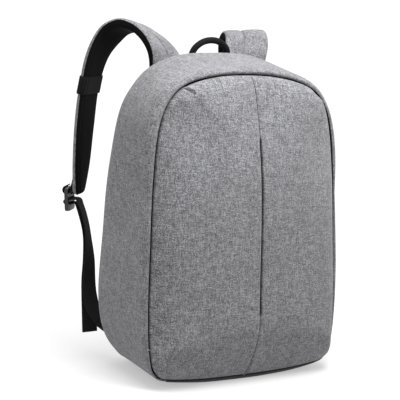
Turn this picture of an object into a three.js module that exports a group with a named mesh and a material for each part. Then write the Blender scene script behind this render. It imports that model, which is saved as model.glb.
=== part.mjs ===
// A soft laptop backpack that stands on its base: a domed front in two halves, a band round the sides
// and top, a dark base, a padded back, two padded shoulder straps with buckles and webbing, and a handle.
// Millimetres, +Z up. The front faces -Y, the wearer's side faces +Y, and the origin is on the floor
// under the middle of the bag.
import * as THREE from 'three';

// Body walls and gaps
const CLOTH_WALL = 3;
const FRONT_WALL = 4;
const BACK_PAD = 7;
const SEAM_GAP = 0.5;
const FRONT_SEAM_GROOVE = 1.4;

// The front seam lies in one plane that leans back as it rises
const FRONT_FOOT_Y = -53;
const FRONT_LEAN = 0.065;

// Half of the body's outline, from the middle of the base up the side to the middle of the crown.
// seam: the front seam; side: the widest line of the band; backY: the plane where the band meets the back;
// swell: how far the band stands out past the seam; round: radius of the back edge; zip: width of the zip.
const BODY_ROWS = [
  { seamX: 0, seamZ: 5, sideX: 0, sideZ: -1.5, backY: 94, swell: 6, round: 9, zip: 0.5 },
  { seamX: 64, seamZ: 6, sideX: 58, sideZ: -1, backY: 93, swell: 4.5, round: 9, zip: 0.5 },
  { seamX: 120, seamZ: 11, sideX: 107, sideZ: 6, backY: 89, swell: 2.5, round: 11, zip: 3 },
  { seamX: 137.5, seamZ: 19, sideX: 130, sideZ: 20, backY: 88, swell: 2.5, round: 15, zip: 8 },
  { seamX: 146, seamZ: 42, sideX: 148, sideZ: 50, backY: 96, swell: 5, round: 19, zip: 8 },
  { seamX: 149, seamZ: 98, sideX: 156.5, sideZ: 102, backY: 98, swell: 8, round: 21, zip: 8 },
  { seamX: 147.5, seamZ: 186, sideX: 157, sideZ: 192, backY: 92, swell: 9, round: 21, zip: 8 },
  { seamX: 144, seamZ: 275, sideX: 155.5, sideZ: 284, backY: 83, swell: 9.5, round: 21, zip: 8 },
  { seamX: 137, seamZ: 338, sideX: 148, sideZ: 350, backY: 77, swell: 12, round: 21, zip: 8 },
  { seamX: 121.5, seamZ: 375, sideX: 130.5, sideZ: 388, backY: 74, swell: 12, round: 21, zip: 8 },
  { seamX: 96, seamZ: 396, sideX: 103, sideZ: 415, backY: 74, swell: 8.5, round: 21, zip: 8 },
  { seamX: 51, seamZ: 407.5, sideX: 56, sideZ: 430, backY: 75, swell: 8, round: 21, zip: 8 },
  { seamX: 0, seamZ: 410.5, sideX: 0, sideZ: 433.5, backY: 75, swell: 8, round: 21, zip: 8 },
];
const BASE_ROW = 2;
const LOW_CORNER_ROW = 3;
const HIGH_CORNER_ROW = 9;
const TOP_ROW = BODY_ROWS.length - 1;
// Depth that the swell takes for each millimetre it stands out
const SWELL_SLANT = 1.9;

// Dome of the front panel ahead of its seam. The rolls are shares of its height; the side powers and the
// blends run from the facets at the upper corners to the even curve below them
const DOME_HEIGHT = 39;
const DOME_HALF_WIDTH = 149;
const TOP_ROLL_WIDTH = 24;
const TOP_ROLL = 0.27;
const FOOT_ROLL_WIDTH = 10;
const FOOT_ROLL = 0.05;
const SIDE_ROLL_WIDTH = 8;
const DOME_TOP_REACH = 205;
const DOME_TOP_POWER = 1.8;
const DOME_FOOT_REACH = 105;
const DOME_FOOT_POWER = 2.1;
const DOME_SIDE_POWER = { high: 1.05, low: 2.2 };
const DOME_BLEND = { high: 0.035, low: 0.14 };
const DOME_FACET_FADE = { start: 50, end: 190 };

// The concealed pocket opens along the middle seam
const SLIT_LOW_Z = 96;
const SLIT_HIGH_Z = 326;
const SLIT_WIDTH = 2.4;
const SLIT_TAPER = 10;
const POCKET_TAPE_WIDTH = 16;
const POCKET_TAPE_WALL = 1.2;
const POCKET_TAPE_STEPS = 14;

// Back panel and main zip
const BACK_CROWN = 7;
const ZIP_WALL = 2;
const ZIP_MARGIN = 1;
const ZIP_STEPS_PER_ROW = 2;

// Carry handle: half of its middle line, from the foot behind the top edge up to the middle of the arch
const HANDLE_RADIUS = 4.5;
const HANDLE_HALF_ROWS = [
  { x: 30, y: 81, z: 416 },
  { x: 29.5, y: 77.5, z: 427 },
  { x: 25.5, y: 74.5, z: 438.5 },
  { x: 14.5, y: 72.5, z: 447 },
  { x: 0, y: 72, z: 450 },
];
const HANDLE_STEPS = 17;
const HANDLE_SIDES = 10;

// Shoulder straps: x, y, z of the middle line on the left side, turn and bank of the width in degrees
const STRAP_WALL = 2;
const STRAP_PAD = 6.5;
const STRAP_LEFT_ROWS = [
  { x: -58, y: 89.5, z: 378, turn: 0, bank: 0, width: 62 },
  { x: -58.5, y: 89.5, z: 408, turn: 13, bank: 3, width: 62 },
  { x: -66, y: 95.5, z: 434, turn: 31, bank: 2, width: 63 },
  { x: -79, y: 108, z: 454, turn: 43, bank: -2, width: 64 },
  { x: -92, y: 124, z: 465, turn: 47, bank: -5, width: 64 },
  { x: -105, y: 138, z: 465, turn: 43, bank: -11, width: 64 },
  { x: -117, y: 151, z: 452, turn: 33, bank: -11, width: 63 },
  { x: -130, y: 164, z: 421, turn: 38, bank: -7, width: 62 },
  { x: -137, y: 173, z: 375, turn: 40, bank: -5, width: 58 },
  { x: -140, y: 177, z: 320, turn: 38, bank: -4, width: 53 },
  { x: -142, y: 178, z: 265, turn: 40, bank: -5, width: 47 },
  { x: -143, y: 180, z: 224, turn: 46, bank: -6, width: 34 },
];
// The right strap is written as if on the left too, and then mirrored; it is lower and goes straighter back
const STRAP_RIGHT_ROWS = [
  { x: -60, y: 89.5, z: 378, turn: 0, bank: 0, width: 62 },
  { x: -63, y: 88.5, z: 407, turn: 5, bank: 2, width: 62 },
  { x: -72, y: 95, z: 431, turn: 11, bank: 0, width: 62 },
  { x: -82, y: 108, z: 449, turn: 15, bank: 0, width: 63 },
  { x: -89, y: 124, z: 459, turn: 16, bank: -3, width: 63 },
  { x: -93, y: 139, z: 458, turn: 16, bank: -5, width: 63 },
  { x: -97, y: 152, z: 445, turn: 19, bank: -7, width: 62 },
  { x: -110, y: 165, z: 414, turn: 31, bank: -6, width: 61 },
  { x: -124, y: 173, z: 370, turn: 35, bank: -5, width: 58 },
  { x: -135, y: 177, z: 318, turn: 38, bank: -4, width: 53 },
  { x: -142, y: 179, z: 264, turn: 39, bank: -5, width: 47 },
  { x: -143, y: 181, z: 223, turn: 44, bank: -6, width: 34 },
];
const STRAP_STEPS_PER_ROW = 3;
const KEEPER_POSITION = 7.9;
const KEEPER_HEIGHT = 25;
const KEEPER_WALL = 1.5;
const KEEPER_CLEARANCE = 0.8;

// Ladder-lock buckle: out and drop place its middle from the end of the strap, tilt brings its foot in
const BUCKLE_WIDTH = 31;
const BUCKLE_LENGTH = 34;
const BUCKLE_WALL = 5;
const BUCKLE_SLOT_WIDTH = 25;
const BUCKLE_SLOT_LENGTH = 4.2;
const BUCKLE_BAR = 3;
const BUCKLE_CORNER = 4;
const BUCKLE_OUT = 12.8;
const BUCKLE_DROP = 8.6;
const BUCKLE_TILT = 8;

// Webbing: the stretch from the bag up to the buckle, and the free end that hangs from the buckle
const WEBBING_WIDTH = 22;
const WEBBING_WALL = 1.5;
const WEBBING_RISE_ROWS = [
  { x: -132, y: 107, z: 52, turn: -18 },
  { x: -144, y: 119, z: 71, turn: -8 },
  { x: -146, y: 128, z: 91, turn: 1 },
  { x: -144, y: 135, z: 111, turn: 12 },
  { x: -140, y: 143, z: 136, turn: 26 },
  { x: -138, y: 153, z: 163, turn: 42 },
  { x: -138, y: 161, z: 183, turn: 46 },
  { x: -140, y: 170, z: 202, turn: 46 },
];
// Side view of the webbing in the buckle: in by the middle slot, round the bar and back by the lower slot
const WEBBING_IN_BUCKLE = [
  { out: -14, down: 1 },
  { out: -7, down: 0 },
  { out: -2.5, down: 0 },
  { out: 2.5, down: 0 },
  { out: 5.1, down: 1.2 },
  { out: 6, down: 3.6 },
  { out: 5.1, down: 6 },
  { out: 2.5, down: 7.2 },
  { out: -2.5, down: 7.2 },
  { out: -7, down: 6.2 },
  { out: -12, down: 6 },
];
const WEBBING_TAIL_ROWS = [
  { x: -142.5, y: 173, z: 200, turn: 46 },
  { x: -140.5, y: 163.5, z: 181, turn: 46 },
  { x: -140, y: 155.5, z: 161, turn: 42 },
  { x: -141.5, y: 146, z: 135, turn: 26 },
  { x: -144.5, y: 138.5, z: 110, turn: 12 },
  { x: -146, y: 132, z: 90, turn: 1 },
  { x: -146.5, y: 127, z: 66, turn: -4 },
  { x: -145.5, y: 124, z: 36, turn: -8 },
];
const WEBBING_STEPS_PER_ROW = 2;
const WEBBING_BUCKLE_STEPS = 14;
const LOOP_STEPS = 7;
const LOOP_SWEEP = 260;
const SEWN_LENGTH = 0.7;

// Wing tab: its root lies on the back near the lower corner, given for the left side
const WING_ROOT = [
  { x: -121, y: 90.4, z: 28.5 },
  { x: -106, y: 90.6, z: 20.5 },
];
const WING_TIP_WIDTH = 26;
const WING_WALL = 1.8;
const WING_TIP_GAP = 2.4;

const MATERIALS = {
  heather: { color: 0x8f8f93, roughness: 0.92, metalness: 0 },
  base: { color: 0x2c2c2f, roughness: 0.85, metalness: 0 },
  mesh: { color: 0x1b1b1d, roughness: 0.95, metalness: 0 },
  webbing: { color: 0x19191b, roughness: 0.8, metalness: 0 },
  zip: { color: 0x141416, roughness: 0.7, metalness: 0 },
  plastic: { color: 0x1d1d20, roughness: 0.45, metalness: 0 },
};

const group = new THREE.Group();

function addPiece(name, geometry, materialName) {
  const piece = new THREE.Mesh(geometry, new THREE.MeshStandardMaterial(MATERIALS[materialName]));
  piece.name = name;
  group.add(piece);
}

// Step along a table for reading a direction from two near points
const NEAR = 0.05;

// Smooth curve through one column of a table; position 2.5 is half way from row 2 to row 3
function along(rows, column, position, closed = false) {
  const last = rows.length - 1;
  const start = closed ? Math.floor(position) : Math.min(Math.max(Math.floor(position), 0), last - 1);
  const share = position - start;
  const value = (index) => {
    const wrapped = closed ? (index + 2 * rows.length) % rows.length : Math.min(Math.max(index, 0), last);
    return rows[wrapped][column];
  };
  const before = value(start - 1);
  const from = value(start);
  const to = value(start + 1);
  const after = value(start + 2);
  const leave = (to - before) / 2;
  const arrive = (after - from) / 2;
  const cube = 2 * from - 2 * to + leave + arrive;
  const square = -3 * from + 3 * to - 2 * leave - arrive;
  return ((cube * share + square) * share + leave) * share + from;
}

// Closed solid from points and triangles, turned to face out
function solid(points, triangles) {
  let volume = 0;
  for (const [a, b, c] of triangles) {
    volume += points[a].dot(new THREE.Vector3().crossVectors(points[b], points[c]));
  }
  const index = triangles.flatMap(([a, b, c]) => (volume < 0 ? [a, c, b] : [a, b, c]));
  const geometry = new THREE.BufferGeometry().setFromPoints(points);
  geometry.setIndex(index);
  geometry.computeVertexNormals();
  return geometry;
}

// Wall of even thickness behind a grid of surface points; side is +1 or -1 for which way is inwards
function wall(grid, thickness, side) {
  const rows = grid.length;
  const columns = grid[0].length;
  const points = grid.flat();
  const inner = [];
  for (let r = 0; r < rows; r += 1) {
    for (let c = 0; c < columns; c += 1) {
      const down = grid[Math.min(r + 1, rows - 1)][c].clone().sub(grid[Math.max(r - 1, 0)][c]);
      const across = grid[r][Math.min(c + 1, columns - 1)].clone().sub(grid[r][Math.max(c - 1, 0)]);
      const normal = new THREE.Vector3().crossVectors(down, across).normalize();
      inner.push(grid[r][c].clone().addScaledVector(normal, side * thickness));
    }
  }
  const offset = points.length;
  const at = (r, c) => r * columns + c;
  const triangles = [];
  const quad = (a, b, c, d) => triangles.push([a, b, c], [a, c, d]);
  for (let r = 0; r + 1 < rows; r += 1) {
    for (let c = 0; c + 1 < columns; c += 1) {
      quad(at(r, c), at(r + 1, c), at(r + 1, c + 1), at(r, c + 1));
      quad(offset + at(r, c), offset + at(r, c + 1), offset + at(r + 1, c + 1), offset + at(r + 1, c));
    }
  }
  for (let r = 0; r + 1 < rows; r += 1) {
    quad(at(r, 0), offset + at(r, 0), offset + at(r + 1, 0), at(r + 1, 0));
    const end = columns - 1;
    quad(at(r, end), at(r + 1, end), offset + at(r + 1, end), offset + at(r, end));
  }
  for (let c = 0; c + 1 < columns; c += 1) {
    quad(at(0, c), at(0, c + 1), offset + at(0, c + 1), offset + at(0, c));
    const end = rows - 1;
    quad(at(end, c), offset + at(end, c), offset + at(end, c + 1), at(end, c + 1));
  }
  return solid([...points, ...inner], triangles);
}

// Solid through a row of closed sections; an endless one joins its last section to its first
function loft(sections, endless = false) {
  const sides = sections[0].length;
  const points = sections.flat();
  const triangles = [];
  const count = endless ? sections.length : sections.length - 1;
  for (let s = 0; s < count; s += 1) {
    const next = (s + 1) % sections.length;
    for (let k = 0; k < sides; k += 1) {
      const turn = (k + 1) % sides;
      const corner = [s * sides + k, s * sides + turn, next * sides + turn, next * sides + k];
      triangles.push([corner[0], corner[1], corner[2]], [corner[0], corner[2], corner[3]]);
    }
  }
  if (!endless) {
    const end = (sections.length - 1) * sides;
    for (let k = 1; k + 1 < sides; k += 1) {
      triangles.push([0, k + 1, k], [end, end + k, end + k + 1]);
    }
  }
  return solid(points, triangles);
}

// The whole outline: the half table and its mirror, as one closed loop seen from the front
const mirrored = BODY_ROWS.slice(1, TOP_ROW).reverse();
const LOOP_ROWS = [
  ...BODY_ROWS,
  ...mirrored.map((row) => ({ ...row, seamX: -row.seamX, sideX: -row.sideX })),
];
const body = (column, position) => along(LOOP_ROWS, column, position, true);

function outward(position) {
  const runX = body('sideX', position + NEAR) - body('sideX', position - NEAR);
  const runZ = body('sideZ', position + NEAR) - body('sideZ', position - NEAR);
  return new THREE.Vector3(runZ, 0, -runX).normalize();
}

const seamPlaneY = (z) => FRONT_FOOT_Y + FRONT_LEAN * z;

function seamPoint(position, inset = 0) {
  const z = body('seamZ', position);
  const point = new THREE.Vector3(body('seamX', position), seamPlaneY(z), z);
  return point.addScaledVector(outward(position), -inset);
}

// Point of the back edge, inset from where the rounded band ends
function backPoint(position, inset = 0) {
  const out = outward(position);
  const point = new THREE.Vector3(body('sideX', position), body('backY', position), body('sideZ', position));
  point.addScaledVector(out, -body('round', position) - inset);
  return point;
}

// One line across the band: out of the seam in a quarter ellipse, straight back, and round the back edge
const SWELL_ANGLES = [0, 18, 38, 62, 90];
const FLAT_SHARES = [0.33, 0.67, 1];
const ROUND_ANGLES = [22.5, 45, 67.5, 90];

function bandLine(position) {
  const out = outward(position);
  const seam = seamPoint(position);
  const round = body('round', position);
  const swell = body('swell', position);
  const shoulder = new THREE.Vector3(
    body('sideX', position),
    body('backY', position) - round,
    body('sideZ', position),
  );
  const chordEnd = shoulder.clone().addScaledVector(out, -swell);
  const swellShare = (SWELL_SLANT * swell) / (shoulder.y - seam.y);
  const line = [];
  for (const angle of SWELL_ANGLES) {
    const turn = THREE.MathUtils.degToRad(angle);
    const share = swellShare * (1 - Math.cos(turn));
    line.push(seam.clone().lerp(chordEnd, share).addScaledVector(out, swell * Math.sin(turn)));
  }
  for (const share of FLAT_SHARES) {
    const reach = swellShare + (1 - swellShare) * share;
    line.push(seam.clone().lerp(chordEnd, reach).addScaledVector(out, swell));
  }
  for (const angle of ROUND_ANGLES) {
    const turn = THREE.MathUtils.degToRad(angle);
    const point = shoulder.clone().addScaledVector(out, -round * (1 - Math.cos(turn)));
    point.y += round * Math.sin(turn);
    line.push(point);
  }
  for (const point of line) {
    point.z = Math.max(point.z, 0);
  }
  return line;
}

// Stretch of the band between two loop positions
function band(from, to, steps) {
  const lines = [];
  for (let i = 0; i <= steps; i += 1) {
    lines.push(bandLine(from + ((to - from) * i) / steps));
  }
  return wall(lines, CLOTH_WALL, 1);
}

const LOOP_LENGTH = LOOP_ROWS.length;
const GAP_SHARE = 0.006;
const BAND_STEPS_PER_ROW = 3;
const bandRows = LOOP_LENGTH - 2 * BASE_ROW;
addPiece(
  'gusset',
  band(BASE_ROW + GAP_SHARE, LOOP_LENGTH - BASE_ROW - GAP_SHARE, bandRows * BAND_STEPS_PER_ROW),
  'heather',
);
addPiece(
  'base_panel',
  band(-BASE_ROW + GAP_SHARE, BASE_ROW - GAP_SHARE, 2 * BASE_ROW * BAND_STEPS_PER_ROW),
  'base',
);

// Patch filled between four edges; each edge is a function of a share from 0 to 1
function patch(edges, columns, rows) {
  const { low, high, start, end } = edges;
  const grid = [];
  for (let r = 0; r <= rows; r += 1) {
    const v = r / rows;
    const line = [];
    for (let c = 0; c <= columns; c += 1) {
      const u = c / columns;
      const point = low(u).multiplyScalar(1 - v).addScaledVector(high(u), v);
      point.addScaledVector(start(v), 1 - u).addScaledVector(end(v), u);
      point.addScaledVector(low(0), -(1 - u) * (1 - v)).addScaledVector(low(1), -u * (1 - v));
      point.addScaledVector(high(0), -(1 - u) * v).addScaledVector(high(1), -u * v);
      line.push(point);
    }
    grid.push(line);
  }
  return grid;
}

// Height of the front dome: a flat-topped hill whose sides meet in soft ridges at the upper corners
function softLeast(a, b, blend) {
  const mix = THREE.MathUtils.clamp(0.5 + (b - a) / (2 * blend), 0, 1);
  return b + (a - b) * mix - blend * mix * (1 - mix);
}

function edgeRoll(distance, width) {
  return Math.sqrt(1 - (1 - THREE.MathUtils.clamp(distance / width, 0, 1)) ** 2);
}

function slope(distance, reach, power) {
  return 1 - (1 - THREE.MathUtils.clamp(distance / reach, 0, 1)) ** power;
}

// u runs from the middle seam, 0, to the side seam, 1; halfWidth is the panel's half width there
function domeHeight(u, halfWidth, fromTop, fromFoot) {
  const topSlope = slope(fromTop, DOME_TOP_REACH, DOME_TOP_POWER);
  const topRise = TOP_ROLL * edgeRoll(fromTop, TOP_ROLL_WIDTH) + (1 - TOP_ROLL) * topSlope;
  const footSlope = slope(fromFoot, DOME_FOOT_REACH, DOME_FOOT_POWER);
  const footRise = FOOT_ROLL * edgeRoll(fromFoot, FOOT_ROLL_WIDTH) + (1 - FOOT_ROLL) * footSlope;
  const fade = THREE.MathUtils.smoothstep(fromTop, DOME_FACET_FADE.start, DOME_FACET_FADE.end);
  const sidePower = THREE.MathUtils.lerp(DOME_SIDE_POWER.high, DOME_SIDE_POWER.low, fade);
  const sideBlend = THREE.MathUtils.lerp(DOME_BLEND.high, DOME_BLEND.low, fade);
  const sideShare = (2 * u * halfWidth) / (halfWidth + DOME_HALF_WIDTH);
  const sideRise = edgeRoll((1 - u) * halfWidth, SIDE_ROLL_WIDTH) * (1 - sideShare ** sidePower);
  const endRise = softLeast(topRise, footRise, DOME_BLEND.low);
  return DOME_HEIGHT * Math.max(softLeast(endRise, sideRise, sideBlend), 0);
}

const FRONT_COLUMNS = 11;
const FRONT_ROWS = 26;
const slitShare = (z) =>
  THREE.MathUtils.smoothstep(z, SLIT_LOW_Z - SLIT_TAPER, SLIT_LOW_Z) *
  (1 - THREE.MathUtils.smoothstep(z, SLIT_HIGH_Z, SLIT_HIGH_Z + SLIT_TAPER));

function frontHalf(sign) {
  const edge = (position) => seamPoint(position, FRONT_SEAM_GROOVE);
  const foot = edge(0);
  const crown = edge(TOP_ROW);
  const grid = patch(
    {
      low: (u) => edge(LOW_CORNER_ROW * u),
      high: (u) => edge(TOP_ROW - (TOP_ROW - HIGH_CORNER_ROW) * u),
      start: (v) => foot.clone().lerp(crown, v),
      end: (v) => edge(LOW_CORNER_ROW + (HIGH_CORNER_ROW - LOW_CORNER_ROW) * v),
    },
    FRONT_COLUMNS,
    FRONT_ROWS,
  );
  const heights = grid.map((line) => line.map(() => 0));
  grid.forEach((line, r) =>
    line.forEach((point, c) => {
      const u = c / FRONT_COLUMNS;
      const halfWidth = line[FRONT_COLUMNS].x;
      const fromTop = grid[FRONT_ROWS][c].z - point.z;
      const fromFoot = point.z - grid[0][c].z;
      heights[r][c] = domeHeight(u, halfWidth, fromTop, fromFoot);
    }),
  );
  grid.forEach((line, r) =>
    line.forEach((point, c) => {
      const halfGap = (SEAM_GAP + (SLIT_WIDTH - SEAM_GAP) * slitShare(point.z)) / 2;
      point.x = sign * (point.x + halfGap * (1 - c / FRONT_COLUMNS));
      point.y -= heights[r][c];
    }),
  );
  return wall(grid, FRONT_WALL, sign);
}

addPiece('front_panel_left', frontHalf(-1), 'heather');
addPiece('front_panel_right', frontHalf(1), 'heather');

// Zip tape of the concealed pocket, behind the slit
function pocketTape() {
  const grid = [];
  for (let r = 0; r <= POCKET_TAPE_STEPS; r += 1) {
    const share = r / POCKET_TAPE_STEPS;
    const z = THREE.MathUtils.lerp(SLIT_LOW_Z - SLIT_TAPER, SLIT_HIGH_Z + SLIT_TAPER, share);
    const height = domeHeight(0, DOME_HALF_WIDTH, BODY_ROWS[TOP_ROW].seamZ - z, z - BODY_ROWS[0].seamZ);
    const y = seamPlaneY(z) - height + FRONT_WALL + 2 * SEAM_GAP;
    grid.push([-1, 0, 1].map((side) => new THREE.Vector3((side * POCKET_TAPE_WIDTH) / 2, y, z)));
  }
  return wall(grid, POCKET_TAPE_WALL, 1);
}

addPiece('pocket_zip', pocketTape(), 'zip');

// Padded back panel inside the zip
const BACK_COLUMNS = 12;
const BACK_ROWS = 16;

function backPanel() {
  const edge = (position) => backPoint(position, body('zip', position) + SEAM_GAP);
  const sideRows = HIGH_CORNER_ROW - LOW_CORNER_ROW;
  const topRows = 2 * (TOP_ROW - HIGH_CORNER_ROW);
  const grid = patch(
    {
      low: (u) => edge(LOW_CORNER_ROW * (2 * u - 1)),
      high: (u) => edge(HIGH_CORNER_ROW + topRows * (1 - u)),
      start: (v) => edge(-LOW_CORNER_ROW - sideRows * v),
      end: (v) => edge(LOW_CORNER_ROW + sideRows * v),
    },
    BACK_COLUMNS,
    BACK_ROWS,
  );
  grid.forEach((line, r) =>
    line.forEach((point, c) => {
      const u = (2 * c) / BACK_COLUMNS - 1;
      const v = (2 * r) / BACK_ROWS - 1;
      point.y += BACK_CROWN * (1 - u ** 4) * (1 - v ** 4);
    }),
  );
  return wall(grid, BACK_PAD, -1);
}

addPiece('back_panel', backPanel(), 'mesh');

// Zip round the back edge
function mainZip() {
  const from = BASE_ROW + GAP_SHARE;
  const steps = bandRows * ZIP_STEPS_PER_ROW;
  const lines = [];
  for (let i = 0; i <= steps; i += 1) {
    const position = from + ((LOOP_LENGTH - 2 * from) * i) / steps;
    const width = body('zip', position);
    const insets = [ZIP_MARGIN, (ZIP_MARGIN + width) / 2, width];
    lines.push(insets.map((inset) => backPoint(position, inset)));
  }
  return wall(lines, ZIP_WALL, 1);
}

addPiece('main_zip', mainZip(), 'zip');

// Carry handle: a rolled tube in a low arch over the top edge
function carryHandle() {
  const half = HANDLE_HALF_ROWS.map(({ x, y, z }) => new THREE.Vector3(x, y, z));
  const other = half.slice(0, -1).reverse();
  const points = [...half, ...other.map((point) => new THREE.Vector3(-point.x, point.y, point.z))];
  const path = new THREE.CatmullRomCurve3(points, false, 'centripetal');
  const section = new THREE.Shape().absarc(0, 0, HANDLE_RADIUS, 0, 2 * Math.PI);
  return new THREE.ExtrudeGeometry(section, {
    extrudePath: path,
    steps: HANDLE_STEPS,
    curveSegments: HANDLE_SIDES / 2,
  });
}

addPiece('carry_handle', carryHandle(), 'webbing');

// Place, run, width direction and outer normal of a strap at a position along its table.
// A side of 1 keeps the left side's table as written, and -1 mirrors it to the right.
function strapFrame(rows, position, side) {
  const last = rows.length - 1;
  const place = (at) => new THREE.Vector3(along(rows, 'x', at), along(rows, 'y', at), along(rows, 'z', at));
  const run = place(Math.min(position + NEAR, last)).sub(place(Math.max(position - NEAR, 0))).normalize();
  const turn = THREE.MathUtils.degToRad(along(rows, 'turn', position));
  const bank = THREE.MathUtils.degToRad('bank' in rows[0] ? along(rows, 'bank', position) : 0);
  const level = Math.cos(bank);
  const across = new THREE.Vector3(Math.cos(turn) * level, Math.sin(turn) * level, Math.sin(bank));
  across.addScaledVector(run, -across.dot(run)).normalize();
  const out = new THREE.Vector3().crossVectors(across, run).normalize();
  const frame = { place: place(position), run, across, out };
  for (const vector of Object.values(frame)) {
    vector.x *= side;
  }
  return frame;
}

// Point of a frame: distances along its width, its outer normal and its run
function framePoint(frame, across, out, run = 0) {
  return frame.place
    .clone()
    .addScaledVector(frame.across, across)
    .addScaledVector(frame.out, out)
    .addScaledVector(frame.run, run);
}

// Sections hold a share of the half width and a height above the middle line
const PAD_SECTION = [
  { share: -0.9, height: 0 },
  { share: 0, height: 0 },
  { share: 0.9, height: 0 },
  { share: 1, height: -0.35 * STRAP_PAD },
  { share: 0.94, height: -0.8 * STRAP_PAD },
  { share: 0.6, height: -STRAP_PAD },
  { share: -0.6, height: -STRAP_PAD },
  { share: -0.94, height: -0.8 * STRAP_PAD },
  { share: -1, height: -0.35 * STRAP_PAD },
];
const COVER_TOP = SEAM_GAP + STRAP_WALL;
const COVER_SECTION = [
  { share: -0.96, height: SEAM_GAP },
  { share: 0, height: SEAM_GAP },
  { share: 0.96, height: SEAM_GAP },
  { share: 0.92, height: COVER_TOP },
  { share: 0, height: COVER_TOP },
  { share: -0.92, height: COVER_TOP },
];
const WEBBING_SECTION = [
  { share: -1, height: -WEBBING_WALL / 2 },
  { share: 1, height: -WEBBING_WALL / 2 },
  { share: 1, height: WEBBING_WALL / 2 },
  { share: -1, height: WEBBING_WALL / 2 },
];

const sectionAt = (frame, width, section) =>
  section.map(({ share, height }) => framePoint(frame, (share * width) / 2, height));

function strapLayer(rows, section, side) {
  const steps = (rows.length - 1) * STRAP_STEPS_PER_ROW;
  const sections = [];
  for (let i = 0; i <= steps; i += 1) {
    const position = i / STRAP_STEPS_PER_ROW;
    const width = along(rows, 'width', position);
    sections.push(sectionAt(strapFrame(rows, position, side), width, section));
  }
  return loft(sections);
}

// Elastic keeper: a closed band round the strap. Lean is the way that a corner of the band stands off.
const KEEPER_HALF_SECTION = [
  { share: 0.6, height: -STRAP_PAD, leanAcross: 0.3, leanOut: -1 },
  { share: 0.94, height: -0.8 * STRAP_PAD, leanAcross: 0.9, leanOut: -0.9 },
  { share: 1, height: -0.35 * STRAP_PAD, leanAcross: 1, leanOut: 0 },
  { share: 0.97, height: COVER_TOP, leanAcross: 0.8, leanOut: 1 },
];
const otherHalf = ({ share, height, leanAcross, leanOut }) => ({
  share: -share,
  height,
  leanAcross: -leanAcross,
  leanOut,
});
const KEEPER_SECTION = [...KEEPER_HALF_SECTION, ...KEEPER_HALF_SECTION.map(otherHalf).reverse()];

function keeper(rows, side) {
  const frame = strapFrame(rows, KEEPER_POSITION, side);
  const halfWidth = along(rows, 'width', KEEPER_POSITION) / 2;
  const outer = KEEPER_CLEARANCE + KEEPER_WALL;
  const sections = KEEPER_SECTION.map(({ share, height, leanAcross, leanOut }) => {
    const corner = (lift, run) =>
      framePoint(frame, share * halfWidth + lift * leanAcross, height + lift * leanOut, run);
    return [
      corner(KEEPER_CLEARANCE, -KEEPER_HEIGHT / 2),
      corner(outer, -KEEPER_HEIGHT / 2),
      corner(outer, KEEPER_HEIGHT / 2),
      corner(KEEPER_CLEARANCE, KEEPER_HEIGHT / 2),
    ];
  });
  return loft(sections, true);
}

function roundedRectangle(path, width, height, radius, middle = 0) {
  const right = width / 2 - radius;
  const top = middle + height / 2 - radius;
  const low = middle - height / 2 + radius;
  path.absarc(right, low, radius, -Math.PI / 2, 0);
  path.absarc(right, top, radius, 0, Math.PI / 2);
  path.absarc(-right, top, radius, Math.PI / 2, Math.PI);
  path.absarc(-right, low, radius, Math.PI, 1.5 * Math.PI);
  return path;
}

// Frame of the buckle: the strap's end, moved down and out and tilted
function buckleFrame(rows, side) {
  const end = strapFrame(rows, rows.length - 1, side);
  const tilt = THREE.MathUtils.degToRad(BUCKLE_TILT);
  const run = end.run.clone().multiplyScalar(Math.cos(tilt)).addScaledVector(end.out, -Math.sin(tilt));
  const out = end.out.clone().multiplyScalar(Math.cos(tilt)).addScaledVector(end.run, Math.sin(tilt));
  return { place: framePoint(end, 0, BUCKLE_OUT, BUCKLE_DROP), run, across: end.across, out };
}

// Buckle: a plate with three slots, so that two bars stand between its upper and lower rim
const BUCKLE_PITCH = BUCKLE_SLOT_LENGTH + BUCKLE_BAR;
const BUCKLE_RIM = BUCKLE_LENGTH / 2 - 1.5 * BUCKLE_SLOT_LENGTH - BUCKLE_BAR;
const SLOT_CORNER = 1.2;

function buckle(frame) {
  const outline = roundedRectangle(new THREE.Shape(), BUCKLE_WIDTH, BUCKLE_LENGTH, BUCKLE_CORNER);
  for (const slot of [-1, 0, 1]) {
    const hole = new THREE.Path();
    const middle = slot * BUCKLE_PITCH;
    outline.holes.push(
      roundedRectangle(hole, BUCKLE_SLOT_WIDTH, BUCKLE_SLOT_LENGTH, SLOT_CORNER, middle),
    );
  }
  const plate = new THREE.ExtrudeGeometry(outline, {
    depth: BUCKLE_WALL,
    bevelEnabled: false,
    curveSegments: 3,
  });
  plate.translate(0, 0, -BUCKLE_WALL / 2);
  const up = frame.run.clone().negate();
  const face = new THREE.Vector3().crossVectors(frame.across, up);
  const basis = new THREE.Matrix4().makeBasis(frame.across, up, face);
  basis.setPosition(frame.place);
  return plate.applyMatrix4(basis);
}

// Frames of webbing along a line drawn in the buckle's side view
function sideViewFrames(frame, points, steps, side) {
  const line = new THREE.CatmullRomCurve3(points.map(({ out, down }) => framePoint(frame, 0, out, down)));
  return Array.from({ length: steps + 1 }, (_, i) => {
    const run = line.getTangentAt(i / steps);
    const out = new THREE.Vector3().crossVectors(frame.across, run).multiplyScalar(side);
    return { place: line.getPointAt(i / steps), run, across: frame.across, out };
  });
}

const strip = (frames) => loft(frames.map((frame) => sectionAt(frame, WEBBING_WIDTH, WEBBING_SECTION)));

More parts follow.
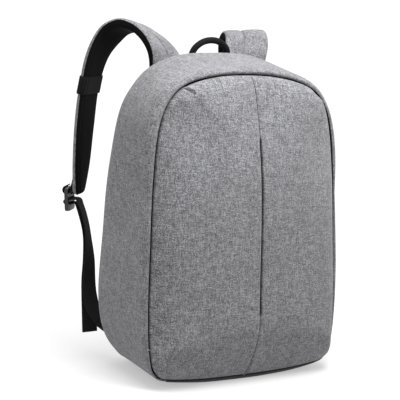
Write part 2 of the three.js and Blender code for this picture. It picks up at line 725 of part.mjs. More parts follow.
// Loop on the strap's end: sewn to the strap's outer face and turned round the buckle's upper rim
function buckleLoop(rows, frame, side) {
  const last = rows.length - 1;
  const height = COVER_TOP + WEBBING_WALL / 2 + SEAM_GAP;
  const sewn = [last - 2 * SEWN_LENGTH, last - SEWN_LENGTH].map((position) => {
    const place = strapFrame(rows, position, side);
    return { ...place, place: framePoint(place, 0, height) };
  });
  const reach = Math.hypot(BUCKLE_RIM, BUCKLE_WALL) / 2 + WEBBING_WALL / 2 + SEAM_GAP;
  const level = (BUCKLE_RIM - BUCKLE_LENGTH) / 2;
  const turn = Array.from({ length: LOOP_STEPS + 1 }, (_, i) => {
    const angle = THREE.MathUtils.degToRad((LOOP_SWEEP * i) / LOOP_STEPS);
    return { out: -reach * Math.cos(angle), down: level + reach * Math.sin(angle) };
  });
  return strip([...sewn, ...sideViewFrames(frame, turn, LOOP_STEPS, side)]);
}

// Adjusting webbing: up from the bag, round the buckle's bar and down again as the free end
function tableFrames(rows, side) {
  const steps = (rows.length - 1) * WEBBING_STEPS_PER_ROW;
  return Array.from({ length: steps + 1 }, (_, i) => strapFrame(rows, i / WEBBING_STEPS_PER_ROW, side));
}

function webbing(frame, side) {
  return strip([
    ...tableFrames(WEBBING_RISE_ROWS, side),
    ...sideViewFrames(frame, WEBBING_IN_BUCKLE, WEBBING_BUCKLE_STEPS, side),
    ...tableFrames(WEBBING_TAIL_ROWS, side),
  ]);
}

// Wing tab: a cloth piece from the bag's lower corner up to the foot of the webbing
function wingTab(side) {
  const half = new THREE.Vector3(0, WING_WALL / 2, 0);
  const root = WING_ROOT.map(({ x, y, z }) => new THREE.Vector3(x * side, y, z));
  const foot = strapFrame(WEBBING_RISE_ROWS, 0, side);
  const tip = [-WING_TIP_WIDTH / 2, WING_TIP_WIDTH / 2].map((across) =>
    framePoint(foot, across, WING_TIP_GAP, -WING_TIP_GAP),
  );
  return loft(
    [root, tip].map(([outer, inner]) => [
      outer.clone().sub(half),
      inner.clone().sub(half),
      inner.clone().add(half),
      outer.clone().add(half),
    ]),
  );
}

function shoulderStrap(label, rows, side) {
  addPiece(`strap_${label}_cover`, strapLayer(rows, COVER_SECTION, side), 'heather');
  addPiece(`strap_${label}_padding`, strapLayer(rows, PAD_SECTION, side), 'mesh');
  addPiece(`strap_${label}_keeper`, keeper(rows, side), 'webbing');
  const frame = buckleFrame(rows, side);
  addPiece(`buckle_${label}`, buckle(frame), 'plastic');
  addPiece(`buckle_loop_${label}`, buckleLoop(rows, frame, side), 'webbing');
  addPiece(`webbing_${label}`, webbing(frame, side), 'webbing');
  addPiece(`wing_tab_${label}`, wingTab(side), 'webbing');
}

shoulderStrap('left', STRAP_LEFT_ROWS, 1);
shoulderStrap('right', STRAP_RIGHT_ROWS, -1);

export default group;
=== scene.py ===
# %% [markdown]
# # A grey laptop backpack
# The CAD model gives the size and the place of every piece of this bag. Here each of its pieces is made
# again as the soft thing it is: foam-backed cloth, padded straps, woven webbing and moulded buckles.
# The model is loaded first, because every piece rides on it, and most pieces stand for one of its solids.

# %% Load the frame
import math

import bpy
import numpy as np
from mathutils import Matrix, Vector


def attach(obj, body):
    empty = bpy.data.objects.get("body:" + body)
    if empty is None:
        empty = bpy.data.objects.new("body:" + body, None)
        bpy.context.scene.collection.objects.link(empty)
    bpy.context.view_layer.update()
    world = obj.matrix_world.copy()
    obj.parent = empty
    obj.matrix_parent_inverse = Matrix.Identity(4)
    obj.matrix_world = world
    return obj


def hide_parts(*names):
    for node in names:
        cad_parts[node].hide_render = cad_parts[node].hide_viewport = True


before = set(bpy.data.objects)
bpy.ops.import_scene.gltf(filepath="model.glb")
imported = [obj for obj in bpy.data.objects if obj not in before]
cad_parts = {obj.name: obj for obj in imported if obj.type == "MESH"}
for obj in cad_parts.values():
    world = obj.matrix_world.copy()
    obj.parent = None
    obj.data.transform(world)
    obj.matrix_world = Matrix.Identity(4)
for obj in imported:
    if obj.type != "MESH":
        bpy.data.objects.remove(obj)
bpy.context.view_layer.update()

MM = 0.001
bpy.ops.object.select_all(action="DESELECT")

# %% [markdown]
# ## The camera
# The bag was photographed from a little above, half from its left. The camera's place and turn were
# fitted to known points of the bag. Building the three directions of the camera and putting them in a
# matrix is exact, while turning it by hand until it looks right is not.

# %% Camera
CAMERA_PLACE = Vector((-0.9731, -1.4568, 0.5069))
CAMERA_YAW = math.radians(32.307)
CAMERA_DIP = math.radians(8.819)
CAMERA_ROLL = math.radians(2.944)
FOCAL_PIXELS = 1300.67
PHOTO_WIDTH = 400
SENSOR_MM = 36

ahead = Vector((math.sin(CAMERA_YAW), math.cos(CAMERA_YAW), 0)) * math.cos(CAMERA_DIP)
ahead.z = -math.sin(CAMERA_DIP)
level_right = Vector((math.cos(CAMERA_YAW), -math.sin(CAMERA_YAW), 0))
level_up = level_right.cross(ahead)
camera_right = level_right * math.cos(CAMERA_ROLL) + level_up * math.sin(CAMERA_ROLL)
camera_up = camera_right.cross(ahead)
camera_data = bpy.data.cameras.new("photo_camera")
camera_data.sensor_width = SENSOR_MM
camera_data.lens = SENSOR_MM * FOCAL_PIXELS / PHOTO_WIDTH
camera = bpy.data.objects.new("photo_camera", camera_data)
bpy.context.collection.objects.link(camera)
camera_turn = Matrix((camera_right, camera_up, -ahead)).transposed().to_4x4()
camera.matrix_world = Matrix.Translation(CAMERA_PLACE) @ camera_turn
bpy.context.scene.camera = camera
print("camera lens", round(camera_data.lens, 2), "mm")

# %% [markdown]
# ## Colours and nodes
# Colours are written as they look on a screen. Blender mixes light in linear values, so one function
# turns the written colour into those. A second small function adds a shader node with its settings and
# links, so that each material below reads as a list of what it is made of.

# %% Helpers for materials
def screen_colour(written):
    parts = [int(written[i:i + 2], 16) / 255 for i in (1, 3, 5)]
    return [p / 12.92 if p <= 0.04045 else ((p + 0.055) / 1.055) ** 2.4 for p in parts] + [1.0]


def add_node(tree, kind, inputs=None, **settings):
    """A new shader node; an input may be a value, a socket, or a node, which gives its first output."""
    node = tree.nodes.new("ShaderNode" + kind)
    for setting, value in settings.items():
        setattr(node, setting, value)
    for socket, value in (inputs or {}).items():
        if isinstance(value, bpy.types.Node):
            value = value.outputs[0]
        if isinstance(value, bpy.types.NodeSocket):
            tree.links.new(value, node.inputs[socket])
        else:
            node.inputs[socket].default_value = value
    return node


def start_material(name):
    material = bpy.data.materials.new(name)
    material.use_nodes = True
    tree = material.node_tree
    return material, tree, tree.nodes["Principled BSDF"]


def start_cloth(name):
    """A material whose pattern is laid on the flat cloth, in metres."""
    material, tree, shader = start_material(name)
    return material, tree, shader, add_node(tree, "UVMap", uv_map="cloth").outputs["UV"]


def finish_surface(tree, shader, colour, relief, strength, depth, settings):
    """Join a colour and a fine relief of that depth to a shader, and set its other values."""
    bump = add_node(tree, "Bump", {"Height": relief, "Strength": strength, "Distance": depth})
    tree.links.new(colour, shader.inputs["Base Color"])
    tree.links.new(bump.outputs[0], shader.inputs["Normal"])
    for setting, value in settings.items():
        shader.inputs[setting].default_value = value


def paint_ramp(ramp, stops):
    elements = ramp.color_ramp.elements
    while len(elements) < len(stops):
        elements.new(0.5)
    for element, (position, written) in zip(elements, stops):
        element.position = position
        element.color = screen_colour(written)


# %% [markdown]
# ## Heather cloth
# The bag's grey is a plain weave of light and dark yarns. Each yarn keeps its tone for a while and then
# changes, which makes short streaks along and across. Two patterns of long thin bricks, one of them turned
# by a quarter, give the yarns their tones, and a checker says which yarn lies on top. Each crossing of two
# yarns also has a tone of its own. The yarns are drawn about three times too thick, because the real ones
# would be finer than a pixel.

# %% Heather cloth
YARN = 0.9 * MM
YARN_STREAK = 6.3 * MM
STREAK_SHIFT = 0.38
CLOUD = 45 * MM


def heather_cloth():
    material, tree, shader, flat = start_cloth("heather_polyester")
    turned = add_node(tree, "Mapping", {"Vector": flat, "Rotation": (0, 0, math.radians(90))})
    streaks = {"Color1": (0, 0, 0, 1), "Color2": (1, 1, 1, 1), "Mortar Size": 0.0, "Scale": 1 / YARN}
    streaks |= {"Brick Width": YARN_STREAK / YARN, "Row Height": 1.0}
    weft = add_node(tree, "TexBrick", {"Vector": flat, **streaks}, offset=STREAK_SHIFT)
    warp = add_node(tree, "TexBrick", {"Vector": turned, **streaks}, offset=STREAK_SHIFT)
    over = add_node(tree, "TexChecker", {"Vector": flat, "Scale": 1 / YARN})
    streak = add_node(tree, "Mix", {0: over.outputs["Fac"], 2: weft, 3: warp})
    cell = add_node(tree, "VectorMath", {0: flat, 1: (YARN, YARN, YARN)}, operation="SNAP")
    crossing = add_node(tree, "TexWhiteNoise", {"Vector": cell}, noise_dimensions="2D")
    tone = add_node(tree, "Mix", {0: 0.5, 2: streak, 3: crossing.outputs["Value"]})
    ramp = add_node(tree, "ValToRGB", {"Fac": tone})
    paint_ramp(ramp, [(0.0, "#232326"), (0.5, "#606063"), (1.0, "#8f8f92")])
    cloud = add_node(tree, "TexNoise", {"Vector": flat, "Scale": 1 / CLOUD, "Detail": 2.0})
    cloud_ramp = add_node(tree, "ValToRGB", {"Fac": cloud})
    paint_ramp(cloud_ramp, [(0.3, "#f1f1f1"), (0.7, "#ffffff")])
    colour = add_node(
        tree, "Mix", {0: 1.0, 6: ramp, 7: cloud_ramp},
        data_type="RGBA", blend_type="MULTIPLY",
    )
    settings = {"Roughness": 0.92, "Specular IOR Level": 0.2, "Sheen Weight": 0.12, "Sheen Roughness": 0.6}
    finish_surface(tree, shader, colour.outputs[2], streak.outputs[0], 0.35, 0.5 * MM, settings)
    return material


HEATHER = heather_cloth()
print("heather yarn drawn", round(YARN / MM, 2), "mm wide")

# %% [markdown]
# ## The dark cloths
# The base is a coated dark cloth with a fine square weave. The inside of the straps is a black spacer
# mesh with rows of small holes. The back is the same mesh drawn lighter, as painted light that lifts the
# shade the back stands in. Webbing and the rolled handle are woven of fat black yarns that lie in ribs
# across the strip, and the zip tape is a fine twill.

# %% Dark cloths
def base_cloth():
    material, tree, shader, flat = start_cloth("coated_base_cloth")
    weave = add_node(tree, "TexChecker", {"Vector": flat, "Scale": 1 / (1.1 * MM)})
    worn = add_node(tree, "TexNoise", {"Vector": flat, "Scale": 1 / (12 * MM), "Detail": 4.0})
    tone = add_node(tree, "Mix", {0: 0.7, 2: weave.outputs["Fac"], 3: worn})
    ramp = add_node(tree, "ValToRGB", {"Fac": tone})
    paint_ramp(ramp, [(0.2, "#1d1d20"), (0.8, "#39393d")])
    finish_surface(tree, shader, ramp.outputs[0], weave.outputs["Fac"], 0.3, 0.3 * MM, {"Roughness": 0.75})
    return material


def spacer_mesh(name, hole, edge, yarn):
    material, tree, shader, flat = start_cloth(name)
    place = add_node(tree, "Mapping", {"Vector": flat, "Rotation": (0, 0, math.radians(45))})
    holes = add_node(
        tree, "TexVoronoi",
        {"Vector": place, "Scale": 1 / (3.2 * MM), "Randomness": 0.12}, voronoi_dimensions="2D",
    )
    ramp = add_node(tree, "ValToRGB", {"Fac": holes.outputs["Distance"]})
    paint_ramp(ramp, [(0.18, hole), (0.36, edge), (0.7, yarn)])
    settings = {"Roughness": 0.95, "Specular IOR Level": 0.1}
    finish_surface(tree, shader, ramp.outputs[0], ramp.outputs[0], 0.6, 1.0 * MM, settings)
    return material


def ribbed_weave(name, rib, dark, light, roughness):
    material, tree, shader, flat = start_cloth(name)
    ribs = add_node(
        tree, "TexWave",
        {"Vector": flat, "Scale": 2 * math.pi / (20 * rib), "Distortion": 0.6, "Detail": 1.0},
        wave_type="BANDS", bands_direction="Y",
    )
    yarns = add_node(tree, "Mapping", {"Vector": flat, "Scale": (1 / rib, 0.2 / rib, 1)})
    fibre = add_node(tree, "TexNoise", {"Vector": yarns, "Scale": 1.0, "Detail": 3.0})
    tone = add_node(tree, "Mix", {0: 0.5, 2: ribs.outputs["Fac"], 3: fibre})
    ramp = add_node(tree, "ValToRGB", {"Fac": tone})
    paint_ramp(ramp, [(0.2, dark), (0.85, light)])
    settings = {"Roughness": roughness, "Specular IOR Level": 0.12}
    finish_surface(tree, shader, ramp.outputs[0], tone.outputs[0], 0.5, 0.4 * MM, settings)
    return material


BASE_CLOTH = base_cloth()
SPACER_MESH = spacer_mesh("black_spacer_mesh", "#020202", "#060607", "#0b0b0c")
# The back's mesh is the straps' black mesh drawn lighter: painted light against the shade the back stands in
SHADE_LIFTED_BACK_MESH = spacer_mesh("back_mesh_lightened_against_shade", "#0b0b0c", "#29292c", "#3d3d41")
WEBBING = ribbed_weave("black_polyester_webbing", 1.8 * MM, "#09090a", "#1e1e20", 0.8)
HANDLE_WEAVE = ribbed_weave("black_handle_weave", 2.2 * MM, "#040405", "#121214", 0.8)
ZIP_TAPE = ribbed_weave("black_zip_tape", 1.1 * MM, "#08080a", "#1b1b1e", 0.7)
dark_cloths = [BASE_CLOTH, SPACER_MESH, SHADE_LIFTED_BACK_MESH, WEBBING, HANDLE_WEAVE, ZIP_TAPE]
print("dark cloths:", [cloth.name for cloth in dark_cloths])

# %% [markdown]
# ## Moulded plastic
# The buckles and the coil of the zip are black acetal: smooth, a little glossy, with a very fine grain
# from the mould that breaks the shine.

# %% Moulded plastic
def moulded_plastic():
    material, tree, shader = start_material("moulded_black_acetal")
    place = add_node(tree, "TexCoord").outputs["Object"]
    grain = add_node(tree, "TexNoise", {"Vector": place, "Scale": 1 / (0.9 * MM), "Detail": 2.0})
    scuff = add_node(tree, "TexNoise", {"Vector": place, "Scale": 1 / (9 * MM), "Detail": 3.0})
    ramp = add_node(tree, "ValToRGB", {"Fac": scuff})
    paint_ramp(ramp, [(0.3, "#0b0b0c"), (0.75, "#171719")])
    rough = add_node(tree, "MapRange", {"Value": scuff, "To Min": 0.36, "To Max": 0.52})
    tree.links.new(rough.outputs[0], shader.inputs["Roughness"])
    finish_surface(tree, shader, ramp.outputs[0], grain.outputs[0], 0.15, 0.1 * MM, {})
    return material


PLASTIC = moulded_plastic()
print("plastic:", PLASTIC.name)

# %% [markdown]
# ## The bag's outline
# A pattern cutter describes a bag by a few stations round its edge. The table has half of them, from the
# middle of the base up one side to the middle of the crown, and the other half is its mirror. A smooth
# curve through each column gives every point between. The numbers are those of the CAD model.

# %% Outline table
BODY_COLUMNS = ("seam_x", "seam_z", "side_x", "side_z", "back_y", "swell", "round", "zip")
HALF_BODY = [
    (0, 5, 0, -1.5, 94, 6, 9, 0.5),
    (64, 6, 58, -1, 93, 4.5, 9, 0.5),
    (120, 11, 107, 6, 89, 2.5, 11, 3),
    (137.5, 19, 130, 20, 88, 2.5, 15, 8),
    (146, 42, 148, 50, 96, 5, 19, 8),
    (149, 98, 156.5, 102, 98, 8, 21, 8),
    (147.5, 186, 157, 192, 92, 9, 21, 8),
    (144, 275, 155.5, 284, 83, 9.5, 21, 8),
    (137, 338, 148, 350, 77, 12, 21, 8),
    (121.5, 375, 130.5, 388, 74, 12, 21, 8),
    (96, 396, 103, 415, 74, 8.5, 21, 8),
    (51, 407.5, 56, 430, 75, 8, 21, 8),
    (0, 410.5, 0, 433.5, 75, 8, 21, 8),
]
BASE_ROW, LOW_CORNER_ROW, HIGH_CORNER_ROW = 2, 3, 9
TOP_ROW = len(HALF_BODY) - 1
MIRROR = np.array([-1, 1, -1, 1, 1, 1, 1, 1])
BODY_LOOP = np.array(HALF_BODY + [list(MIRROR * row) for row in HALF_BODY[TOP_ROW - 1:0:-1]], float)
LOOP_LENGTH = len(BODY_LOOP)


def smooth_along(table, position, closed=False):
    """All columns of a table at positions between its rows, on a smooth curve."""
    position = np.atleast_1d(np.asarray(position, float))
    last = len(table) - 1
    start = np.floor(position).astype(int)
    if not closed:
        start = np.clip(start, 0, last - 1)
    share = (position - start)[:, None]
    rows = [start + k for k in (-1, 0, 1, 2)]
    rows = [row % len(table) if closed else np.clip(row, 0, last) for row in rows]
    before, here, there, after = [table[row] for row in rows]
    leave, arrive = (there - before) / 2, (after - here) / 2
    cube = 2 * here - 2 * there + leave + arrive
    square = -3 * here + 3 * there - 2 * leave - arrive
    return ((cube * share + square) * share + leave) * share + here


def body(position, *columns):
    values = smooth_along(BODY_LOOP, position, closed=True)
    return [values[:, BODY_COLUMNS.index(column)] for column in columns]


print("stations round the bag:", LOOP_LENGTH)

# %% [markdown]
# ## Seam and back edge
# Two lines carry the whole body: the front seam, which lies in one leaning plane, and the back edge,
# where the rounded side meets the zip. Both are moved inwards along the outline's own normal when a piece
# has to stop short of them.

# %% Seam and back edge
FRONT_FOOT_Y, FRONT_LEAN = -53, 0.065
NEAR = 0.05


def unit(vectors):
    return vectors / np.linalg.norm(vectors, axis=-1, keepdims=True)


def length_along(points):
    """Distance from the first point to each point of a line."""
    return np.concatenate([[0], np.cumsum(np.linalg.norm(np.diff(points, axis=0), axis=1))])


def outward(position):
    position = np.atleast_1d(np.asarray(position, float))
    ahead_x, ahead_z = body(position + NEAR, "side_x", "side_z")
    behind_x, behind_z = body(position - NEAR, "side_x", "side_z")
    return unit(np.stack([ahead_z - behind_z, np.zeros(len(position)), behind_x - ahead_x], 1))


def seam_point(position, inset=0.0):
    x, z = body(position, "seam_x", "seam_z")
    return np.stack([x, FRONT_FOOT_Y + FRONT_LEAN * z, z], 1) - outward(position) * inset


def back_point(position, inset=0.0):
    x, y, z, radius = body(position, "side_x", "back_y", "side_z", "round")
    return np.stack([x, y, z], 1) - outward(position) * (radius + inset)[:, None]


seam_length = length_along(seam_point(np.linspace(0, LOOP_LENGTH, 400)))[-1]
print("front seam", round(seam_length), "mm long")

# %% [markdown]
# ## From points to cloth
# Every cloth piece starts as a grid of points. A grid is quick to bend in code, and its rows and columns
# know how long the cloth is, so the weave can be laid in real millimetres. The faces are turned to look
# out, and a thickness is given with Solidify, applied at once.

# %% Cloth from a grid
def measured_flat(grid, closed):
    """Millimetres across and along each point of a grid, as if it were laid flat."""
    ring = np.concatenate([grid, grid[:, :1]], 1) if closed else grid
    across = np.linalg.norm(np.diff(ring, axis=1), axis=2)
    along = np.linalg.norm(np.diff(ring, axis=0), axis=2).mean(axis=1)
    across = np.concatenate([np.zeros((len(ring), 1)), np.cumsum(across, axis=1)], 1)
    along = np.concatenate([[0], np.cumsum(along)])
    return np.stack([across, np.repeat(along[:, None], ring.shape[1], 1)], 2)


def cloth_mesh(name, grid, closed=False, flat=None, middle=None):
    """Mesh through a grid of points in mm. A closed grid goes round and is capped at both ends."""
    rows, columns, _ = grid.shape
    flat = measured_flat(grid, closed) if flat is None else flat
    steps = columns if closed else columns - 1
    r, c = np.meshgrid(np.arange(rows - 1), np.arange(steps), indexing="ij")
    turn = (c + 1) % columns
    here, above = r * columns, (r + 1) * columns
    faces = np.stack([here + c, here + turn, above + turn, above + c], -1)
    places = np.stack([flat[r, c], flat[r, c + 1], flat[r + 1, c + 1], flat[r + 1, c]], 2)
    faces, places = faces.reshape(-1, 4), places.reshape(-1, 4, 2)
    points = grid.reshape(-1, 3)
    corner = points[faces]
    facing = np.cross(corner[:, 2] - corner[:, 0], corner[:, 3] - corner[:, 1])
    hub = points.mean(axis=0) if middle is None else np.asarray(middle, float)
    turned = (facing * (corner.mean(axis=1) - hub)).sum() < 0
    if turned:
        faces, places = faces[:, ::-1], places[:, ::-1]
    loops = faces.tolist()
    uvs = places.reshape(-1, 2)
    if closed:
        first, last = list(range(columns)), list(range((rows - 1) * columns, rows * columns))
        loops += [first, last[::-1]] if turned else [first[::-1], last]
        uvs = np.concatenate([uvs, np.zeros((2 * columns, 2))])
    mesh = bpy.data.meshes.new(name)
    mesh.from_pydata((points * MM).tolist(), [], loops)
    mesh.uv_layers.new(name="cloth").data.foreach_set("uv", (uvs * MM).ravel())
    mesh.polygons.foreach_set("use_smooth", np.ones(len(mesh.polygons), bool))
    mesh.validate()
    mesh.update()
    return mesh


def dress(mesh, material, nodes=()):
    """A finished piece: an object at the origin that rides on the bag and stands for CAD nodes."""
    piece = bpy.data.objects.new(mesh.name, mesh)
    bpy.context.collection.objects.link(piece)
    mesh.materials.append(material)
    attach(piece, "root")
    if nodes:
        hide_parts(*nodes)
    return piece


def pick(piece):
    bpy.ops.object.select_all(action="DESELECT")
    piece.select_set(True)
    bpy.context.view_layer.objects.active = piece


def apply_modifier(piece, kind, **settings):
    modifier = piece.modifiers.new(kind.lower(), kind)
    for setting, value in settings.items():
        setattr(modifier, setting, value)
    pick(piece)
    bpy.ops.object.modifier_apply(modifier=modifier.name)


def cloth_piece(name, grid, material, slot, nodes=(), wall=0, **laid):
    """A finished piece of cloth through a grid, with a wall in mm behind its outer face."""
    piece = dress(cloth_mesh(name, grid, **laid), material, nodes)
    if wall:
        apply_modifier(piece, "SOLIDIFY", thickness=wall * MM, offset=-1)
    print(name, len(piece.data.polygons), "faces")
    return piece


# %% [markdown]
# ## Soft shaping
# Cloth is never quite even. Four small tools shape a grid before it becomes a mesh: a slow wave that takes
# away the machine-made look, a round dent, a crease that runs along a line and fades out at its ends, and
# a fold that is steep on one side and slow on the other. Each gives a height, so they can be added up.

# %% Shaping tools
def slow_wave(points, size, depth):
    """Uneven cloth: three crossed waves of about that size, in mm."""
    turn = 2 * np.pi / size
    x, y, z = points[..., 0], points[..., 1], points[..., 2]
    wave = np.sin(turn * (x + 0.4 * z) + 0.6) + np.sin(turn * (0.7 * z - 0.5 * y - 0.3 * x) + 2.1)
    return depth * (wave + np.sin(turn * (0.6 * y + 0.5 * z + 0.2 * x) + 4.0)) / 3


def bell(distance, width):
    return np.exp(-((distance / width) ** 2))


def dent(points, middle, radius, depth):
    return -depth * bell(np.linalg.norm(points - np.asarray(middle, float), axis=-1), radius)


def between(ends, share):
    return ends[0] + (ends[1] - ends[0]) * share


def from_line(points, start, end):
    """Where points lie by a line (x, z) on the front: share of its length, distance, and if on its left."""
    start, end = np.asarray(start, float), np.asarray(end, float)
    run, place = end - start, points[..., [0, 2]] - start
    share = np.clip((place @ run) / (run @ run), 0, 1)
    distance = np.linalg.norm(place - share[..., None] * run, axis=-1)
    return share, distance, run[0] * place[..., 1] - run[1] * place[..., 0] > 0


def crease(points, start, end, width, depth):
    """A valley with a width and a depth at each end; a ridge where the depth is below 0."""
    share, distance, _ = from_line(points, start, end)
    return -between(depth, share) * bell(distance, between(width, share))


def pulled_fold(points, start, end, widths, height):
    """A ridge with its own width on the left and the right of the line, and a height at each end."""
    share, distance, on_left = from_line(points, start, end)
    return between(height, share) * bell(distance, np.where(on_left, *widths))


def grid_normals(grid):
    down, across = np.gradient(grid, axis=0), np.gradient(grid, axis=1)
    normal = np.cross(down, across)
    return normal / np.maximum(np.linalg.norm(normal, axis=2, keepdims=True), 1e-9)


# %% [markdown]
# ## The gusset
# The gusset is the long grey band round the sides and the top. It leaves the front seam in a soft bulge,
# runs straight back and rolls over the back edge to the zip. At the seam its edge is turned in, which is
# what makes the seam a dark line. It is built as lines across the band, one after another round the bag.

# %% Band of the body
SWELL_SLANT = 1.9
SEAM_ROLL_WIDTH, SEAM_ROLL_DEPTH = 5.0, 4.0
TURNED_EDGE = [(0.6, 9.0), (0.5, 6.6), (0.3, 5.0), (0.1, 4.3)]
BAG_MIDDLE = (0, 20, 210)
DEPTHWAYS = np.array([0, 1, 0])


def band_grid(positions):
    out = outward(positions)
    seam = seam_point(positions)
    side_x, side_z, back_y, swell, radius = [
        column[:, None] for column in body(positions, "side_x", "side_z", "back_y", "swell", "round")
    ]
    shoulder = np.concatenate([side_x, back_y - radius, side_z], 1)
    chord = shoulder - out * swell - seam
    swell_share = SWELL_SLANT * swell / (shoulder[:, 1:2] - seam[:, 1:2])
    lines = [seam - out * inset + DEPTHWAYS * sink for inset, sink in TURNED_EDGE]
    for angle in np.radians(np.linspace(0, 90, 13)):
        rise = swell * math.sin(angle)
        roll = SEAM_ROLL_DEPTH * np.maximum(1 - rise / SEAM_ROLL_WIDTH, 0) ** 2
        lines.append(seam + chord * swell_share * (1 - math.cos(angle)) + out * rise + DEPTHWAYS * roll)
    for share in np.linspace(0, 1, 25)[1:]:
        lines.append(seam + chord * (swell_share + (1 - swell_share) * share) + out * swell)
    for angle in np.radians(np.linspace(0, 90, 11)[1:]):
        lines.append(shoulder - out * radius * (1 - math.cos(angle)) + DEPTHWAYS * radius * math.sin(angle))
    return np.stack(lines, 1)


def shape_band(grid, depth):
    """Push a band in and out along its own normal, but not at its two sewn edges."""
    normal = grid_normals(grid)
    if (normal * (grid - np.array(BAG_MIDDLE))).sum() < 0:
        normal = -normal
    held = np.ones(grid.shape[1])
    held[:7] = (0, 0, 0, 0, 0.2, 0.45, 0.75)
    held[-4:] = (0.75, 0.5, 0.25, 0)
    grid = grid + normal * (depth * held)[..., None]
    grid[..., 2] = np.maximum(grid[..., 2], 0)
    return grid


# %% Gusset
GAP_SHARE, CLOTH_WALL = 0.006, 2
GUSSET_DENTS = [
    ((-154, -20, 258), 17, 3.0),
    ((-152, 10, 205), 30, 1.6),
    ((-140, 20, 368), 26, 1.8),
    ((153, -15, 250), 24, 2.0),
    ((60, 10, 432), 34, 1.4),
]
gusset_positions = np.linspace(BASE_ROW + GAP_SHARE, LOOP_LENGTH - BASE_ROW - GAP_SHARE, 300)
gusset_grid = band_grid(gusset_positions)
gusset_depth = slow_wave(gusset_grid, 95, 0.9)
for middle, radius, depth in GUSSET_DENTS:
    gusset_depth = gusset_depth + dent(gusset_grid, middle, radius, depth)
gusset_grid = shape_band(gusset_grid, gusset_depth)
gusset = cloth_piece(
    "gusset_band", gusset_grid, HEATHER, "heather", ["gusset"], wall=CLOTH_WALL, middle=BAG_MIDDLE,
)

# %% [markdown]
# ## The base
# The base is the same band carried on under the bag, cut from a darker coated cloth. It rests flat on the
# floor and curls up at the corners to meet the gusset.

# %% Base
base_grid = band_grid(np.linspace(-BASE_ROW + GAP_SHARE, BASE_ROW - GAP_SHARE, 90))
base_grid = shape_band(base_grid, 0.4 + slow_wave(base_grid, 70, 0.4))
base = cloth_piece(
    "base_sheet", base_grid, BASE_CLOTH, "base", ["base_panel"], wall=CLOTH_WALL, middle=BAG_MIDDLE,
)

# %% [markdown]
# ## The domed front
# The front is two foam-backed halves sewn along the middle. Each half is a patch stretched between its
# four edges and pushed out into a dome that is steep at the foot and slow at the top. A short dart at the
# upper left corner pulls a long ridge towards the middle, with a hollow under it. The other corner has one
# long soft fold, and from there down the front's edge is pulled in a little.

# %% Dome of the front
DOME_HEIGHT = 39
TOP_ROLL_WIDTH, TOP_ROLL = 24, 0.27
FOOT_ROLL_WIDTH, FOOT_ROLL = 10, 0.05
SIDE_ROLL_WIDTH, DOME_HALF_WIDTH = 8, 149
DOME_TOP_REACH, DOME_TOP_POWER = 205, 1.8
DOME_FOOT_REACH, DOME_FOOT_POWER = 105, 2.1
DOME_SIDE_POWERS = (1.05, 2.2)
DOME_BLENDS = (0.018, 0.14)
DOME_FACET_FADE = (50, 190)


def soft_least(a, b, blend):
    mix = np.clip(0.5 + (b - a) / (2 * blend), 0, 1)
    return b + (a - b) * mix - blend * mix * (1 - mix)


def smooth_step(value, low, high):
    share = np.clip((value - low) / (high - low), 0, 1)
    return share * share * (3 - 2 * share)


def edge_roll(distance, width):
    return np.sqrt(1 - (1 - np.clip(distance / width, 0, 1)) ** 2)


def slope(distance, reach, power):
    return 1 - (1 - np.clip(distance / reach, 0, 1)) ** power


def dome_height(u, half_width, from_top, from_foot):
    top_rise = TOP_ROLL * edge_roll(from_top, TOP_ROLL_WIDTH)
    top_rise = top_rise + (1 - TOP_ROLL) * slope(from_top, DOME_TOP_REACH, DOME_TOP_POWER)
    foot_rise = FOOT_ROLL * edge_roll(from_foot, FOOT_ROLL_WIDTH)
    foot_rise = foot_rise + (1 - FOOT_ROLL) * slope(from_foot, DOME_FOOT_REACH, DOME_FOOT_POWER)
    side_roll = edge_roll((1 - u) * half_width, SIDE_ROLL_WIDTH)
    slope_share = 2 * u * half_width / (half_width + DOME_HALF_WIDTH)
    fade = smooth_step(from_top, *DOME_FACET_FADE)
    side_rise = side_roll * (1 - slope_share ** between(DOME_SIDE_POWERS, fade))
    rise = soft_least(top_rise, foot_rise, DOME_BLENDS[1])
    return DOME_HEIGHT * np.maximum(soft_least(rise, side_rise, between(DOME_BLENDS, fade)), 0)


def patch(low, high, start, end, columns, rows):
    """Grid stretched between four edges; low and high run along the columns, start and end up the rows."""
    u, v = columns[None, :, None], rows[:, None, None]
    grid = low[None] * (1 - v) + high[None] * v + start[:, None] * (1 - u) + end[:, None] * u
    corners = low[0] * (1 - u) * (1 - v) + low[-1] * u * (1 - v) + high[0] * (1 - u) * v + high[-1] * u * v
    return grid - corners


# %% Folds of the front
SLIT_LOW, SLIT_HIGH, SLIT_TAPER = 96, 326, 4
SLIT_WIDTH, SEAM_GAP = 4.0, 1.0
# Depth and width of the stitched line beside the slit, how far off it runs, and of the pinch at the seam
STITCH_DEPTH, STITCH_WIDTH, STITCH_OFFSET = 0.7, 1.3, 7.5
PINCH_DEPTH, PINCH_WIDTH = 1.0, 2.2
FRONT_FOLDS = [
    # start (x, z), end (x, z), width at both ends, depth at both ends; a ridge where the depth is below 0
    ((-107, 393), (-99, 389.5), (0.9, 1.0), (4.0, 4.0)),
    ((-99, 389.5), (-93, 384.5), (1.0, 1.4), (4.0, 2.6)),
    ((-104, 352), (-86, 334), (30, 34), (5.0, 4.0)),
    ((107, 384), (88, 285), (7, 11), (4.0, 2.0)),
    ((-118, 36), (-92, 58), (6, 10), (2.0, 0.4)),
    ((118, 36), (92, 56), (7, 10), (1.6, 0.3)),
]
# Folds that the corners pull: start, end, widths on the line's left and right, height at both ends
PULLED_FOLDS = [((-90, 385), (-37, 327), (26, 6), (3.4, 0.5))]
# How far the right edge is pulled in, and how soon that fades towards the middle
SUNK_EDGE, SUNK_EDGE_WIDTH = 3.5, 15
FRONT_EDGE_INSET = 2.0
# Columns and rows are closest together where the dart is
FRONT_COLUMNS = np.concatenate([np.linspace(0, 0.6, 40), np.linspace(0.6, 1, 70)[1:]])
FRONT_ROWS = np.concatenate([np.linspace(0, 0.85, 120), np.linspace(0.85, 1, 80)[1:]])


